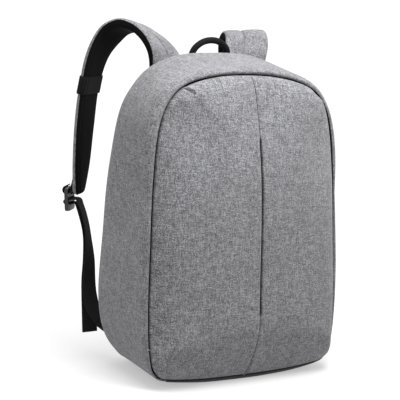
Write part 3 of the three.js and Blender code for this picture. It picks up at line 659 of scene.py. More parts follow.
def sunk_rows(z):
    """Share by which the right edge is pulled in at a height: none at the foot and at the top."""
    return smooth_step(z, 40, 110) * (1 - smooth_step(z, 380, 398))


def front_half(sign):
    columns, rows = FRONT_COLUMNS, FRONT_ROWS
    foot, crown = seam_point([0, TOP_ROW], FRONT_EDGE_INSET)
    grid = patch(
        seam_point(LOW_CORNER_ROW * columns, FRONT_EDGE_INSET),
        seam_point(TOP_ROW - (TOP_ROW - HIGH_CORNER_ROW) * columns, FRONT_EDGE_INSET),
        foot + (crown - foot) * rows[:, None],
        seam_point(LOW_CORNER_ROW + (HIGH_CORNER_ROW - LOW_CORNER_ROW) * rows, FRONT_EDGE_INSET),
        columns,
        rows,
    )
    z = grid[..., 2]
    height = dome_height(columns[None, :], grid[:, -1:, 0], z[-1:] - z, z - z[:1])
    slit = smooth_step(z, SLIT_LOW - SLIT_TAPER, SLIT_LOW)
    slit = slit * (1 - smooth_step(z, SLIT_HIGH, SLIT_HIGH + SLIT_TAPER))
    half_gap = (SEAM_GAP + (SLIT_WIDTH - SEAM_GAP) * slit) / 2
    grid[..., 0] = sign * (grid[..., 0] + half_gap * (1 - columns[None, :]))
    for start, end, width, depth in FRONT_FOLDS:
        height = height + crease(grid, start, end, width, depth)
    height = height + sum(pulled_fold(grid, *fold) for fold in PULLED_FOLDS) + slow_wave(grid, 85, 0.7)
    if sign > 0:
        from_edge = (1 - columns[None, :]) * grid[:, -1:, 0]
        height = height - SUNK_EDGE * np.exp(-from_edge / SUNK_EDGE_WIDTH) * sunk_rows(z)
    from_slit = np.abs(grid[..., 0])
    height = height - STITCH_DEPTH * slit * bell(from_slit - STITCH_OFFSET, STITCH_WIDTH)
    height = height - PINCH_DEPTH * bell(from_slit, PINCH_WIDTH)
    grid[..., 1] -= height
    return grid


# %% Front halves
TURNED_BACK = [0.4, 1.0, 1.6, 2.0]


def turn_edges_back(grid):
    """Fold the border of a grid straight back into the bag, step by step, as a sewn edge is."""
    for step in TURNED_BACK:
        grid = np.pad(grid, ((1, 1), (1, 1), (0, 0)), mode="edge")
        for border in (np.s_[0], np.s_[-1]):
            grid[border, :, 1] += step
            grid[1:-1, border, 1] += step
    return grid


for label, sign in (("left", -1), ("right", 1)):
    front_grid = turn_edges_back(front_half(sign))
    front = cloth_piece(
        f"front_half_{label}", front_grid, HEATHER, "heather", [f"front_panel_{label}"],
        wall=CLOTH_WALL, flat=front_grid[..., [0, 2]].copy(), middle=BAG_MIDDLE,
    )

# %% [markdown]
# ## The dark seam
# At the right in the picture the front's edge is pulled in, and the black tape that binds the gusset's
# edge shows beside it, widest at the upper corner. Its width up the seam is painted shade: the black strip
# is made wide where that seam lies in shade. The tape is built from the same lines as the gusset's
# turned edge, a little nearer to the front, so it follows the cloth exactly.

# %% Seam tape
SEAM_SHADE_TAPE_LIFT = 0.4
# Width of the black tape at each height of the seam, in mm: painted shade, widest where the seam is darkest
SEAM_SHADE_TAPE_REACH = [(30, 0.2), (90, 0.5), (240, 0.8), (330, 1.1), (370, 1.6), (392, 1.2), (397, 0.4)]


def seam_shade_tape_grid(positions):
    out, seam = outward(positions), seam_point(positions)
    reach = np.interp(seam[:, 2], *zip(*SEAM_SHADE_TAPE_REACH))[:, None]
    lines = [seam - out * (inset + SEAM_SHADE_TAPE_LIFT) + DEPTHWAYS * sink for inset, sink in TURNED_EDGE]
    for share in np.linspace(0, 1, 6):
        roll = SEAM_ROLL_DEPTH * np.maximum(1 - reach * share / SEAM_ROLL_WIDTH, 0) ** 2
        lines.append(seam + out * (reach * share - SEAM_SHADE_TAPE_LIFT) + DEPTHWAYS * (roll - SEAM_SHADE_TAPE_LIFT))
    return np.stack(lines, 1)


shade_tape_positions = np.linspace(LOW_CORNER_ROW, TOP_ROW - 0.4 * (TOP_ROW - HIGH_CORNER_ROW), 220)
# A black strip in the right seam: partly binding tape, partly painted shade
cloth_piece("front_seam_shade_tape", seam_shade_tape_grid(shade_tape_positions), ZIP_TAPE, "zip", middle=BAG_MIDDLE)

# %% [markdown]
# ## The concealed pocket
# The middle seam stays open below the crown. Behind the slit lies a black zip tape, so the slit reads as
# a thin black line. The tape follows the dome a few millimetres behind the cloth.

# %% Pocket tape
POCKET_TAPE_HALF, POCKET_TAPE_DEPTH, POCKET_TAPE_END, POCKET_TAPE_SAG = 8, 5, 8, 0.6
tape_z = np.linspace(SLIT_LOW - POCKET_TAPE_END, SLIT_HIGH + POCKET_TAPE_END, 60)
tape_height = dome_height(0.0, DOME_HALF_WIDTH, HALF_BODY[TOP_ROW][1] - tape_z, tape_z - HALF_BODY[0][1])
tape_y = FRONT_FOOT_Y + FRONT_LEAN * tape_z - tape_height + POCKET_TAPE_DEPTH
tape_x = np.linspace(-POCKET_TAPE_HALF, POCKET_TAPE_HALF, 17)
tape_sag = POCKET_TAPE_SAG * bell(tape_x, 1.5)
tape_grid = np.stack(np.broadcast_arrays(tape_x[None], tape_y[:, None] + tape_sag[None], tape_z[:, None]), -1)
pocket_tape = cloth_piece(
    "pocket_tape", tape_grid, ZIP_TAPE, "zip", ["pocket_zip"], wall=1.0, middle=BAG_MIDDLE,
)

# %% [markdown]
# ## The padded back
# The wearer's side is a dark mesh panel over foam, sewn down in channels so that air can pass. The panel
# starts as a flat sheet. A short cloth simulation blows it up while its edge and its sewn channels are
# held, so the pads swell as real ones do: low at the stitches, full in the middle. The thread then pulls a
# narrow groove along each sewn line.

# %% Back panel
BACK_COLUMNS, BACK_ROWS = 121, 171
BACK_CROWN, BACK_PUFF = 6, 6.5
BACK_CHANNELS_U = (-0.08, 0.08)
BACK_CHANNELS_V = (-0.36, 0.3)
BACK_STITCH = 0.0085
GROOVE_WIDTH, GROOVE_DEPTH = 0.022, 2.6
BACK_FOAM = 5


def back_panel_grid():
    """The panel before it is padded, and each point's distance from a sewn line as a share of the panel."""
    u, v = np.linspace(-1, 1, BACK_COLUMNS), np.linspace(-1, 1, BACK_ROWS)
    side_rows = HIGH_CORNER_ROW - LOW_CORNER_ROW
    top_rows = 2 * (TOP_ROW - HIGH_CORNER_ROW)

    def edge(position):
        return back_point(position, body(position, "zip")[0] + 0.5)

    grid = patch(
        edge(LOW_CORNER_ROW * u),
        edge(HIGH_CORNER_ROW + top_rows * (1 - u) / 2),
        edge(-LOW_CORNER_ROW - side_rows * (v + 1) / 2),
        edge(LOW_CORNER_ROW + side_rows * (v + 1) / 2),
        (u + 1) / 2,
        (v + 1) / 2,
    )
    across, up = np.meshgrid(u, v)
    from_edge = np.minimum(1 - np.abs(across), 1 - np.abs(up))
    crown = BACK_CROWN * (1 - across ** 4) * (1 - up ** 4)
    grid[..., 1] += crown - 0.6 * BACK_PUFF * np.minimum(1, 12 * from_edge)
    from_stitch = from_edge
    for channel in BACK_CHANNELS_U:
        from_stitch = np.minimum(from_stitch, np.abs(across - channel))
    for channel in BACK_CHANNELS_V:
        from_stitch = np.minimum(from_stitch, np.abs(up - channel) * 1.3)
    return grid, from_stitch


# %% Padding by cloth simulation
# The panel is small and stiff, so it takes more pressure than a loose cushion
PUFF_FRAMES, PUFF_PRESSURE = 20, 16.0


def mesh_points(mesh):
    points = np.empty(3 * len(mesh.vertices))
    mesh.vertices.foreach_get("co", points)
    return points.reshape(-1, 3)


def blow_up(piece, sewn, cap):
    """Swell a sewn panel with a short cloth simulation and keep the result; no point moves past the cap."""
    piece.vertex_groups.new(name="sewn").add(sewn, 1.0, "REPLACE")
    cloth = piece.modifiers.new("padding", "CLOTH")
    cloth.settings.vertex_group_mass = "sewn"
    cloth.settings.use_pressure = True
    cloth.settings.uniform_pressure_force = PUFF_PRESSURE
    cloth.settings.tension_stiffness = 6
    cloth.settings.effector_weights.gravity = 0
    cloth.point_cache.frame_start, cloth.point_cache.frame_end = 1, PUFF_FRAMES
    for step in range(1, PUFF_FRAMES + 1):
        bpy.context.scene.frame_set(step)
    swollen = piece.evaluated_get(bpy.context.evaluated_depsgraph_get())
    rest, moved = mesh_points(piece.data), mesh_points(swollen.to_mesh()) - mesh_points(piece.data)
    swollen.to_mesh_clear()
    far = np.linalg.norm(moved, axis=1, keepdims=True)
    kept = cap * np.tanh(far / cap) / np.maximum(far, 1e-9)
    piece.modifiers.remove(cloth)
    piece.vertex_groups.clear()
    piece.data.vertices.foreach_set("co", (rest + moved * kept).ravel())
    piece.data.update()
    bpy.context.scene.frame_set(1)
    swelling = [round(float(part.max()) / MM, 1) for part in (far * kept, far)]
    print(piece.name, "swelled by up to", swelling[0], "of", swelling[1], "mm")


back_grid, back_from_stitch = back_panel_grid()
back_panel = cloth_piece("back_padding", back_grid, SHADE_LIFTED_BACK_MESH, "mesh", ["back_panel"], middle=BAG_MIDDLE)
blow_up(back_panel, np.flatnonzero(back_from_stitch < BACK_STITCH).tolist(), BACK_PUFF * MM)
back_points = mesh_points(back_panel.data)
back_points[:, 1] -= GROOVE_DEPTH * MM * bell(back_from_stitch.ravel(), GROOVE_WIDTH)
back_panel.data.vertices.foreach_set("co", back_points.ravel())
back_panel.data.update()
apply_modifier(back_panel, "SOLIDIFY", thickness=BACK_FOAM * MM, offset=-1)

# %% [markdown]
# ## The main zip
# The bag opens round its back edge. A zip is two tapes with a coil of small teeth between them. The tape
# is a narrow grid along the back edge, and one tooth is modelled and repeated along the line.

# %% Main zip
ZIP_SINK, ZIP_EDGE, ZIP_WALL = 0.6, 0.4, 1.2
zip_positions = np.linspace(BASE_ROW + 0.03, LOOP_LENGTH - BASE_ROW - 0.03, 330)
zip_width = body(zip_positions, "zip")[0]
zip_lines = []
for share in np.linspace(0, 1, 9):
    line = back_point(zip_positions, ZIP_EDGE + (zip_width - ZIP_EDGE) * share)
    line[:, 1] -= ZIP_SINK
    zip_lines.append(line)
cloth_piece(
    "main_zip_tape", np.stack(zip_lines, 1), ZIP_TAPE, "zip", ["main_zip"], wall=ZIP_WALL, middle=BAG_MIDDLE,
)


# %% Zip teeth
def row_of_teeth(name, middles, across, out, size):
    """One small rounded tooth, repeated at each point; size is its width, height and length in mm."""
    width, height, length = size
    profile = np.array([(-1, -1), (-0.6, 1), (0.6, 1), (1, -1)]) * (width / 2, height / 2)
    run = unit(np.gradient(middles, axis=0))
    points, faces = [], []
    for place, side, lift, ahead_run in zip(middles, across, out, run):
        first = len(points)
        for end in (-length / 2, length / 2):
            points += [place + side * a + lift * h + ahead_run * end for a, h in profile]
        ring = [(0, 1, 2, 3), (7, 6, 5, 4)] + [(k, k + 4, (k + 1) % 4 + 4, (k + 1) % 4) for k in range(4)]
        faces += [tuple(first + k for k in face) for face in ring]
    mesh = bpy.data.meshes.new(name)
    mesh.from_pydata((np.array(points) * MM).tolist(), [], faces)
    mesh.uv_layers.new(name="cloth")
    mesh.update()
    return mesh


TOOTH_PITCH, TOOTH_SIZE, TOOTH_LIFT = 2.4, (3.6, 1.4, 1.5), 0.3
TOOTH_ROW, TEETH_END = 0.55, 4
tooth_run = length_along(back_point(zip_positions, zip_width * TOOTH_ROW))
tooth_at = np.interp(np.arange(TEETH_END, tooth_run[-1] - TEETH_END, TOOTH_PITCH), tooth_run, zip_positions)
tooth_middle = back_point(tooth_at, body(tooth_at, "zip")[0] * TOOTH_ROW)
tooth_middle[:, 1] += TOOTH_LIFT
tooth_out = np.tile([0.0, 1.0, 0.0], (len(tooth_at), 1))
dress(row_of_teeth("main_zip_teeth", tooth_middle, outward(tooth_at), tooth_out, TOOTH_SIZE), PLASTIC)
print("zip teeth", len(tooth_at))

# %% [markdown]
# ## The carry handle
# The handle is a strip of black cloth rolled into a soft tube and sewn shut underneath. It stands in a
# low arch over the top edge. A tube through a short table of points gives it, with a groove for the seam.

# %% Carry handle
HANDLE_RADIUS = 4.5
# The groove of its seam: share of the radius, its place round the tube, and its width, in radians
HANDLE_SEAM_DEPTH, HANDLE_SEAM_TURN, HANDLE_SEAM_WIDTH = 0.16, math.radians(250), 0.16
HALF_HANDLE = [(30, 81, 416), (29.5, 77.5, 427), (25.5, 74.5, 438.5), (14.5, 72.5, 447), (0, 72, 450)]
handle_points = np.array(HALF_HANDLE + [(-x, y, z) for x, y, z in HALF_HANDLE[-2::-1]], float)
handle_line = smooth_along(handle_points, np.linspace(0, len(handle_points) - 1, 90))
handle_run = unit(np.gradient(handle_line, axis=0))
handle_depth = np.tile([0.0, 1.0, 0.0], (len(handle_line), 1))
handle_depth = unit(handle_depth - handle_run * (handle_depth * handle_run).sum(axis=1, keepdims=True))
handle_out = np.cross(handle_depth, handle_run)
handle_turn = np.radians(np.linspace(0, 360, 40, endpoint=False))
handle_seam = 1 - HANDLE_SEAM_DEPTH * bell(handle_turn - HANDLE_SEAM_TURN, HANDLE_SEAM_WIDTH)
handle_rings = (
    handle_line[:, None]
    + HANDLE_RADIUS * (handle_depth[:, None] * (np.cos(handle_turn) * handle_seam)[None, :, None])
    + HANDLE_RADIUS * (handle_out[:, None] * (np.sin(handle_turn) * handle_seam)[None, :, None])
)
handle = cloth_piece("rolled_handle", handle_rings, HANDLE_WEAVE, "webbing", ["carry_handle"], closed=True)

# %% [markdown]
# ## The shoulder straps
# A strap is a long shaped foam pad with black mesh towards the wearer and grey cloth outside. Its middle
# line rises from the back, stands up over the bag and hangs down behind it. The table gives the line, how
# far its width is turned, and the width. The right strap goes straighter back than the left one. A frame
# of directions rides along the line, and every layer is a section carried along those frames. Over the
# shoulder the padding is thicker and its seam lies higher, so its black edge shows beside the grey cloth.

# %% Strap tables
STRAP_ROWS = {
    # x, y, z, turn, bank, width
    "left": np.array([
        (-58, 89.5, 378, 0, 0, 62), (-58.5, 89.5, 408, 13, 3, 62), (-66, 95.5, 434, 31, 2, 63),
        (-79, 108, 454, 43, -2, 64), (-92, 124, 465, 47, -5, 64), (-105, 138, 465, 43, -11, 64),
        (-117, 151, 452, 33, -11, 63), (-130, 164, 421, 38, -7, 62), (-137, 173, 375, 40, -5, 58),
        (-140, 177, 320, 38, -4, 53), (-142, 178, 265, 40, -5, 47), (-143, 180, 224, 46, -6, 34),
    ], float),
    "right": np.array([
        (-60, 89.5, 378, 0, 0, 62), (-63, 88.5, 407, 5, 2, 62), (-72, 95, 431, 11, 0, 62),
        (-82, 108, 449, 15, 0, 63), (-89, 124, 459, 16, -3, 63), (-93, 139, 458, 16, -5, 63),
        (-97, 152, 445, 19, -7, 62), (-110, 165, 414, 31, -6, 61), (-124, 173, 370, 35, -5, 58),
        (-135, 177, 318, 38, -4, 53), (-142, 179, 264, 39, -5, 47), (-143, 181, 223, 44, -6, 34),
    ], float),
}
SIDES = {"left": 1, "right": -1}


def line_frames(rows, positions, side):
    """Place, run, width direction and outer normal along a table; a side of -1 mirrors it to the right."""
    positions = np.asarray(positions, float)
    last = len(rows) - 1
    values = smooth_along(rows, positions)
    ahead_place = smooth_along(rows, np.minimum(positions + NEAR, last))[:, :3]
    behind_place = smooth_along(rows, np.maximum(positions - NEAR, 0))[:, :3]
    run = unit(ahead_place - behind_place)
    turn = np.radians(values[:, 3])
    bank = np.radians(values[:, 4]) if rows.shape[1] > 4 else np.zeros(len(positions))
    across = np.stack([np.cos(turn) * np.cos(bank), np.sin(turn) * np.cos(bank), np.sin(bank)], 1)
    across = unit(across - run * (across * run).sum(axis=1, keepdims=True))
    out = unit(np.cross(across, run))
    mirror = np.array([side, 1, 1])
    return [vectors * mirror for vectors in (values[:, :3], run, across, out)]


# %% Strap section
SHOULDER_PAD, LOWER_PAD, COVER_TOP = 9.0, 6.0, 2.5
# Height of the seam between the grey cover and the black padding, over the shoulder and lower down
SHOULDER_SEAM, LOWER_SEAM = 0.9, -1.8
EDGE_RADIUS, PAD_RADIUS = 4.0, 3.0
STRAP_SEAM_SHARE, STRAP_SEAM_DEPTH, STRAP_SEAM_WIDTH = 0.14, 2.4, 1.2
# Extra points across the cover, so that the narrow seam line keeps its shape
SEAM_SAMPLES = np.linspace(-3, 3, 15)
STRAP_PUFF, PAD_PUFF, PAD_INSET = 2.2, 1.4, 0.5
# The bound edge of the padding: how far in it lies, its width and how far it is pulled up
BINDING_INSET, BINDING_WIDTH, BINDING_LIFT = 6.5, 1.2, 0.7
STRAP_SECTIONS, STRAP_TIP, TIP_NARROWING = 190, 10, 0.22
# Rows of the table between which the shoulder's thick padding turns into the lower part's
SHOULDER_END = (4.5, 6.5)
KEEPER_POSITION, KEEPER_HEIGHT, KEEPER_SQUEEZE, KEEPER_REACH = 7.9, 25, 0.75, 16


def cover_profile(half, puff, foot):
    """Outer line of the grey cover, from one edge over the top to the other: across and height in mm."""
    bend = np.radians(np.linspace(0, 90, 8))
    edge = half - EDGE_RADIUS + EDGE_RADIUS * np.cos(bend)
    climb = foot + (COVER_TOP - foot) * np.sin(bend)
    seam = STRAP_SEAM_SHARE * half
    flat = np.linspace(half - EDGE_RADIUS, EDGE_RADIUS - half, 32)[1:-1]
    flat = np.sort(np.concatenate([flat, seam + SEAM_SAMPLES]))[::-1]
    across = np.concatenate([edge, flat, -edge[::-1]])
    height = np.concatenate([climb, np.full(len(flat), COVER_TOP), climb[::-1]])
    lobe = np.where(across > seam, (across - seam) / (half - seam), (across + half) / (half + seam))
    swell = puff * np.clip(4 * lobe * (1 - lobe), 0, 1) ** 0.6
    return across, height + swell - STRAP_SEAM_DEPTH * bell(across - seam, STRAP_SEAM_WIDTH)


def pad_profile(half, puff, foot, pad):
    """Outer line of the black padding, from one edge under the strap to the other."""
    bend = np.radians(np.linspace(0, 90, 9))
    edge = half - PAD_RADIUS + PAD_RADIUS * np.cos(bend)
    drop = foot - 0.3 + (-pad + 1.2 - foot) * np.sin(bend)
    flat = np.linspace(half - PAD_RADIUS, PAD_RADIUS - half, 30)[1:-1]
    across = np.concatenate([edge, flat, -edge[::-1]])
    height = np.concatenate([drop, np.full(len(flat), drop[-1]), drop[::-1]])
    share = np.clip(np.abs(across) / (half - PAD_RADIUS), 0, 1)
    binding = bell(np.abs(across) - (half - BINDING_INSET), BINDING_WIDTH)
    return across, height - puff * (1 - share ** 3) + BINDING_LIFT * binding


def strap_sections(rows, side, profiles):
    """Closed sections along a strap; profiles gives across and height for each half width and place."""
    positions = np.linspace(0, len(rows) - 1, STRAP_SECTIONS)
    place, run, across, out = line_frames(rows, positions, side)
    length = length_along(place)
    widths = smooth_along(rows, positions)[:, 5]
    keeper_at = np.interp(KEEPER_POSITION, positions, length)
    rings = []
    for i, width in enumerate(widths):
        from_end = min(length[-1] - length[i], STRAP_TIP) / STRAP_TIP
        squeeze = 1 - KEEPER_SQUEEZE * bell(length[i] - keeper_at, KEEPER_REACH)
        half = width / 2 * (1 - TIP_NARROWING * (1 - from_end) ** 2)
        lower = smooth_step(positions[i], *SHOULDER_END)
        foot = between((SHOULDER_SEAM, LOWER_SEAM), lower)
        pad = between((SHOULDER_PAD, LOWER_PAD), lower)
        thin = math.sqrt(1 - (1 - min(from_end * 2.5 + 0.04, 1)) ** 2)
        sideways, height = profiles(half, squeeze, foot, pad)
        middle = (COVER_TOP - pad) / 2
        height = middle + (height - middle) * thin
        rings.append(place[i] + across[i] * sideways[:, None] + out[i] * height[:, None])
    return np.stack(rings)


def close_section(across, height, inner_half, inner_height):
    """Close an outer line with a straight inner one, where the two layers meet."""
    inner = np.linspace(-inner_half, inner_half, 12)
    return np.concatenate([across, inner]), np.concatenate([height, np.full(12, inner_height)])


def cover_section(half, squeeze, foot, pad):
    profile = cover_profile(half, STRAP_PUFF * squeeze, foot)
    return close_section(*profile, half - 1.3, between((foot, COVER_TOP), 0.37))


def padding_section(half, squeeze, foot, pad):
    profile = pad_profile(half - PAD_INSET, PAD_PUFF * squeeze, foot, pad)
    return close_section(*profile, half - 1.7, between((foot, COVER_TOP), 0.28))


# %% Strap layers
for label, side in SIDES.items():
    for layer, section, material, slot, node in (
        ("cloth", cover_section, HEATHER, "heather", "cover"),
        ("foam", padding_section, SPACER_MESH, "mesh", "padding"),
    ):
        sections = strap_sections(STRAP_ROWS[label], side, section)
        nodes = [f"strap_{label}_{node}"]
        piece = cloth_piece(f"strap_{label}_{layer}", sections, material, slot, nodes, closed=True)

# %% [markdown]
# ## Elastic keepers
# A wide elastic band holds the strap together. It is drawn as a ring that follows the strap's own outline
# a little way off, with rounded edges.

# %% Keepers
KEEPER_WALL, KEEPER_CLEARANCE = 1.5, 0.7
# Section of the band: share of its wall and share of half its height, with two shallow ribs
KEEPER_SECTION = [
    (0, -1), (0.6, -1.02), (1, -0.97), (1.06, -0.5), (1, 0), (1.06, 0.5), (1, 0.97), (0.6, 1.02), (0, 1),
]


def strap_outline(half):
    squeeze = 1 - KEEPER_SQUEEZE
    top_across, top_height = cover_profile(half, STRAP_PUFF * squeeze, LOWER_SEAM)
    low_across, low_height = pad_profile(half - PAD_INSET, PAD_PUFF * squeeze, LOWER_SEAM, LOWER_PAD)
    across = np.concatenate([top_across, low_across[::-1]])
    return np.stack([across, np.concatenate([top_height, low_height[::-1]])], 1)


for label, side in SIDES.items():
    rows = STRAP_ROWS[label]
    place, run, across, out = [v[0] for v in line_frames(rows, [KEEPER_POSITION], side)]
    half = smooth_along(rows, [KEEPER_POSITION])[0, 5] / 2
    outline = strap_outline(half)
    tangent = np.roll(outline, -1, axis=0) - np.roll(outline, 1, axis=0)
    normal = unit(np.stack([tangent[:, 1], -tangent[:, 0]], 1))
    if (normal * outline).sum() < 0:
        normal = -normal
    ring = []
    for lift, level in KEEPER_SECTION:
        line = outline + normal * (KEEPER_CLEARANCE + KEEPER_WALL * lift)
        ring.append(place + across * line[:, :1] + out * line[:, 1:] + run * level * KEEPER_HEIGHT / 2)
    ring = np.stack(ring + [ring[0]])
    keeper = cloth_piece(
        f"strap_{label}_elastic", ring[:, np.r_[0:ring.shape[1], 0]], HANDLE_WEAVE, "webbing",
        [f"strap_{label}_keeper"], flat=measured_flat(ring, True),
    )
    apply_modifier(keeper, "WELD", merge_threshold=0.01 * MM)

# %% [markdown]
# ## Ladder-lock buckles
# The buckle is a moulded plate with three slots, so two bars stand across it. It starts as a cube at its
# size. The slots are cut with three smaller cubes, the edges are rounded, and the upper rim is curled
# towards the strap, as these buckles are. It is modelled once, flat at the origin, and a copy is moved to
# each strap's end and tilted a little.

# %% Buckle
BUCKLE_WIDTH, BUCKLE_LENGTH, BUCKLE_WALL = 31, 34, 5
BUCKLE_SLOT_WIDTH, BUCKLE_SLOT_LENGTH, BUCKLE_BAR = 25, 4.2, 3
BUCKLE_OUT, BUCKLE_DROP, BUCKLE_TILT = 12.8, 8.6, math.radians(8)
BUCKLE_PITCH = BUCKLE_SLOT_LENGTH + BUCKLE_BAR
BUCKLE_CURL = 1.8


def add_block(size, place=(0, 0, 0)):
    bpy.ops.object.select_all(action="DESELECT")
    bpy.ops.mesh.primitive_cube_add(size=1, location=(0, 0, 0))
    block = bpy.context.object
    stretch = Matrix.Diagonal((*[side * MM for side in size], 1))
    block.data.transform(Matrix.Translation(Vector(place) * MM) @ stretch)
    return block


def round_corners(block, radius, segments):
    """Bevel the edges that run along the block's own z."""
    bpy.ops.object.mode_set(mode="EDIT")
    bpy.ops.mesh.select_mode(type="EDGE")
    bpy.ops.mesh.select_all(action="DESELECT")
    bpy.ops.object.mode_set(mode="OBJECT")
    for edge in block.data.edges:
        start, end = [block.data.vertices[v].co for v in edge.vertices]
        edge.select = abs((end - start).normalized().z) > 0.9
    bpy.ops.object.mode_set(mode="EDIT")
    bpy.ops.mesh.bevel(offset=radius * MM, segments=segments, affect="EDGES")
    bpy.ops.object.mode_set(mode="OBJECT")


ladder_plate = add_block((BUCKLE_WIDTH, BUCKLE_LENGTH, BUCKLE_WALL))
round_corners(ladder_plate, 5, 5)
for slot in (-1, 0, 1):
    cutter = add_block((BUCKLE_SLOT_WIDTH, BUCKLE_SLOT_LENGTH, 4 * BUCKLE_WALL), (0, slot * BUCKLE_PITCH, 0))
    round_corners(cutter, 1.2, 3)
    apply_modifier(ladder_plate, "BOOLEAN", object=cutter, operation="DIFFERENCE", solver="EXACT")
    bpy.data.objects.remove(cutter)
apply_modifier(
    ladder_plate, "BEVEL", width=1.2 * MM, segments=3, limit_method="ANGLE", angle_limit=math.radians(40),
)
for vertex in ladder_plate.data.vertices:
    height_share = vertex.co.y / (BUCKLE_LENGTH / 2 * MM)
    vertex.co.z += BUCKLE_CURL * MM * 2 * max(height_share - 0.3, 0) ** 2
print("buckle plate", len(ladder_plate.data.polygons), "faces")

# %% Buckles on the straps
buckle_frames = {}
for label, side in SIDES.items():
    rows = STRAP_ROWS[label]
    place, run, across, out = [v[0] for v in line_frames(rows, [len(rows) - 1], side)]
    place = place + out * BUCKLE_OUT + run * BUCKLE_DROP
    tilted_run = run * math.cos(BUCKLE_TILT) - out * math.sin(BUCKLE_TILT)
    tilted_out = out * math.cos(BUCKLE_TILT) + run * math.sin(BUCKLE_TILT)
    buckle_frames[label] = (place, tilted_run, across, tilted_out)
    stand = Matrix.Identity(4)
    for column, vector in enumerate((across, -tilted_run, -tilted_out, place * MM)):
        for row in range(3):
            stand[row][column] = vector[row]
    mesh = ladder_plate.data.copy()
    mesh.name = f"ladder_buckle_{label}"
    mesh.transform(stand)
    if stand.determinant() < 0:
        mesh.flip_normals()
    mesh.uv_layers.new(name="cloth")
    buckle = dress(mesh, PLASTIC, [f"buckle_{label}"])
    pick(buckle)
    bpy.ops.object.shade_smooth_by_angle(angle=math.radians(35))
    print(buckle.name, "at", np.round(place, 1), "mm")
bpy.data.objects.remove(ladder_plate)

# %% [markdown]
# ## Webbing
# Webbing is a flat woven strip with rounded edges. It is a small section carried along a path: up from the
# bag, round the buckle's bar and down again to a free end, whose tip is folded over and sewn as a hem.
# Straps like this are modelled directly, because a simulation would only blur them.

# %% Strips of webbing
WEBBING_WIDTH, WEBBING_WALL = 22, 1.5
STRIP_STEP = 1.0


def even_path(frames, soften):
    """Points and width directions resampled at even steps, with the corners of the path softened."""
    place, across = [np.array(column) for column in zip(*frames)]
    length = length_along(place)
    steps = np.linspace(0, length[-1], int(length[-1] / STRIP_STEP) + 1)
    place = np.stack([np.interp(steps, length, place[:, k]) for k in range(3)], 1)
    across = np.stack([np.interp(steps, length, across[:, k]) for k in range(3)], 1)
    reach = int(3 * soften)
    weights = np.exp(-0.5 * (np.arange(-reach, reach + 1) / soften) ** 2)
    weights /= weights.sum()

    def soften_line(values):
        lead_in, lead_out = values[reach:0:-1], values[-2:-reach - 2:-1]
        ends = np.concatenate([2 * values[:1] - lead_in, values, 2 * values[-1:] - lead_out])
        return np.stack([np.convolve(ends[:, k], weights, mode="valid") for k in range(3)], 1)

    return soften_line(place), unit(soften_line(across)), steps


def strip_rings(place, across, width, wall, thickness=None):
    run = unit(np.gradient(place, axis=0))
    across = unit(across - run * (across * run).sum(axis=1, keepdims=True))
    out = np.cross(across, run)
    bend = np.radians(np.linspace(-90, 90, 6))
    section = np.concatenate([
        np.stack([width / 2 - wall / 2 + wall / 2 * np.cos(bend), wall / 2 * np.sin(bend)], 1),
        np.stack([np.linspace(width / 2 - wall, wall - width / 2, 9), np.full(9, wall / 2)], 1),
        np.stack([-width / 2 + wall / 2 - wall / 2 * np.cos(bend), -wall / 2 * np.sin(bend)], 1),
        np.stack([np.linspace(wall - width / 2, width / 2 - wall, 9), np.full(9, -wall / 2)], 1),
    ])
    scale = np.ones(len(place)) if thickness is None else thickness
    lift = section[None, :, 1] * scale[:, None]
    return place[:, None] + across[:, None] * section[None, :, :1] + out[:, None] * lift[..., None]


def side_view_path(buckle_frame, points):
    """Path drawn in the buckle's side view, as distances out from its middle and down its length."""
    place, run, across, out = buckle_frame
    return [(place + out * away + run * down, across) for away, down in points]


# %% Buckle loops
BUCKLE_RIM = BUCKLE_LENGTH / 2 - 1.5 * BUCKLE_SLOT_LENGTH - BUCKLE_BAR
LOOP_REACH = math.hypot(BUCKLE_RIM, BUCKLE_WALL) / 2 + WEBBING_WALL / 2 + 0.5
LOOP_LEVEL = (BUCKLE_RIM - BUCKLE_LENGTH) / 2
LOOP_SWEEP, SEWN_LENGTH = 260, 0.7
loop_turn = np.radians(np.linspace(0, LOOP_SWEEP, 27))
LOOP_SIDE_VIEW = np.stack([-LOOP_REACH * np.cos(loop_turn), LOOP_LEVEL + LOOP_REACH * np.sin(loop_turn)], 1)
for label, side in SIDES.items():
    rows = STRAP_ROWS[label]
    sewn_at = len(rows) - 1 - SEWN_LENGTH * np.array([2, 1.5, 1])
    place, _, sewn_across, sewn_out = line_frames(rows, sewn_at, side)
    lift = COVER_TOP + STRAP_PUFF + WEBBING_WALL / 2
    path = [(p + o * lift, a) for p, a, o in zip(place, sewn_across, sewn_out)]
    path += side_view_path(buckle_frames[label], LOOP_SIDE_VIEW)
    points, widths, _ = even_path(path, 1.5)
    rings = strip_rings(points, widths, WEBBING_WIDTH, WEBBING_WALL)
    nodes = [f"buckle_loop_{label}"]
    cloth_piece(f"buckle_loop_strip_{label}", rings, WEBBING, "webbing", nodes, closed=True)

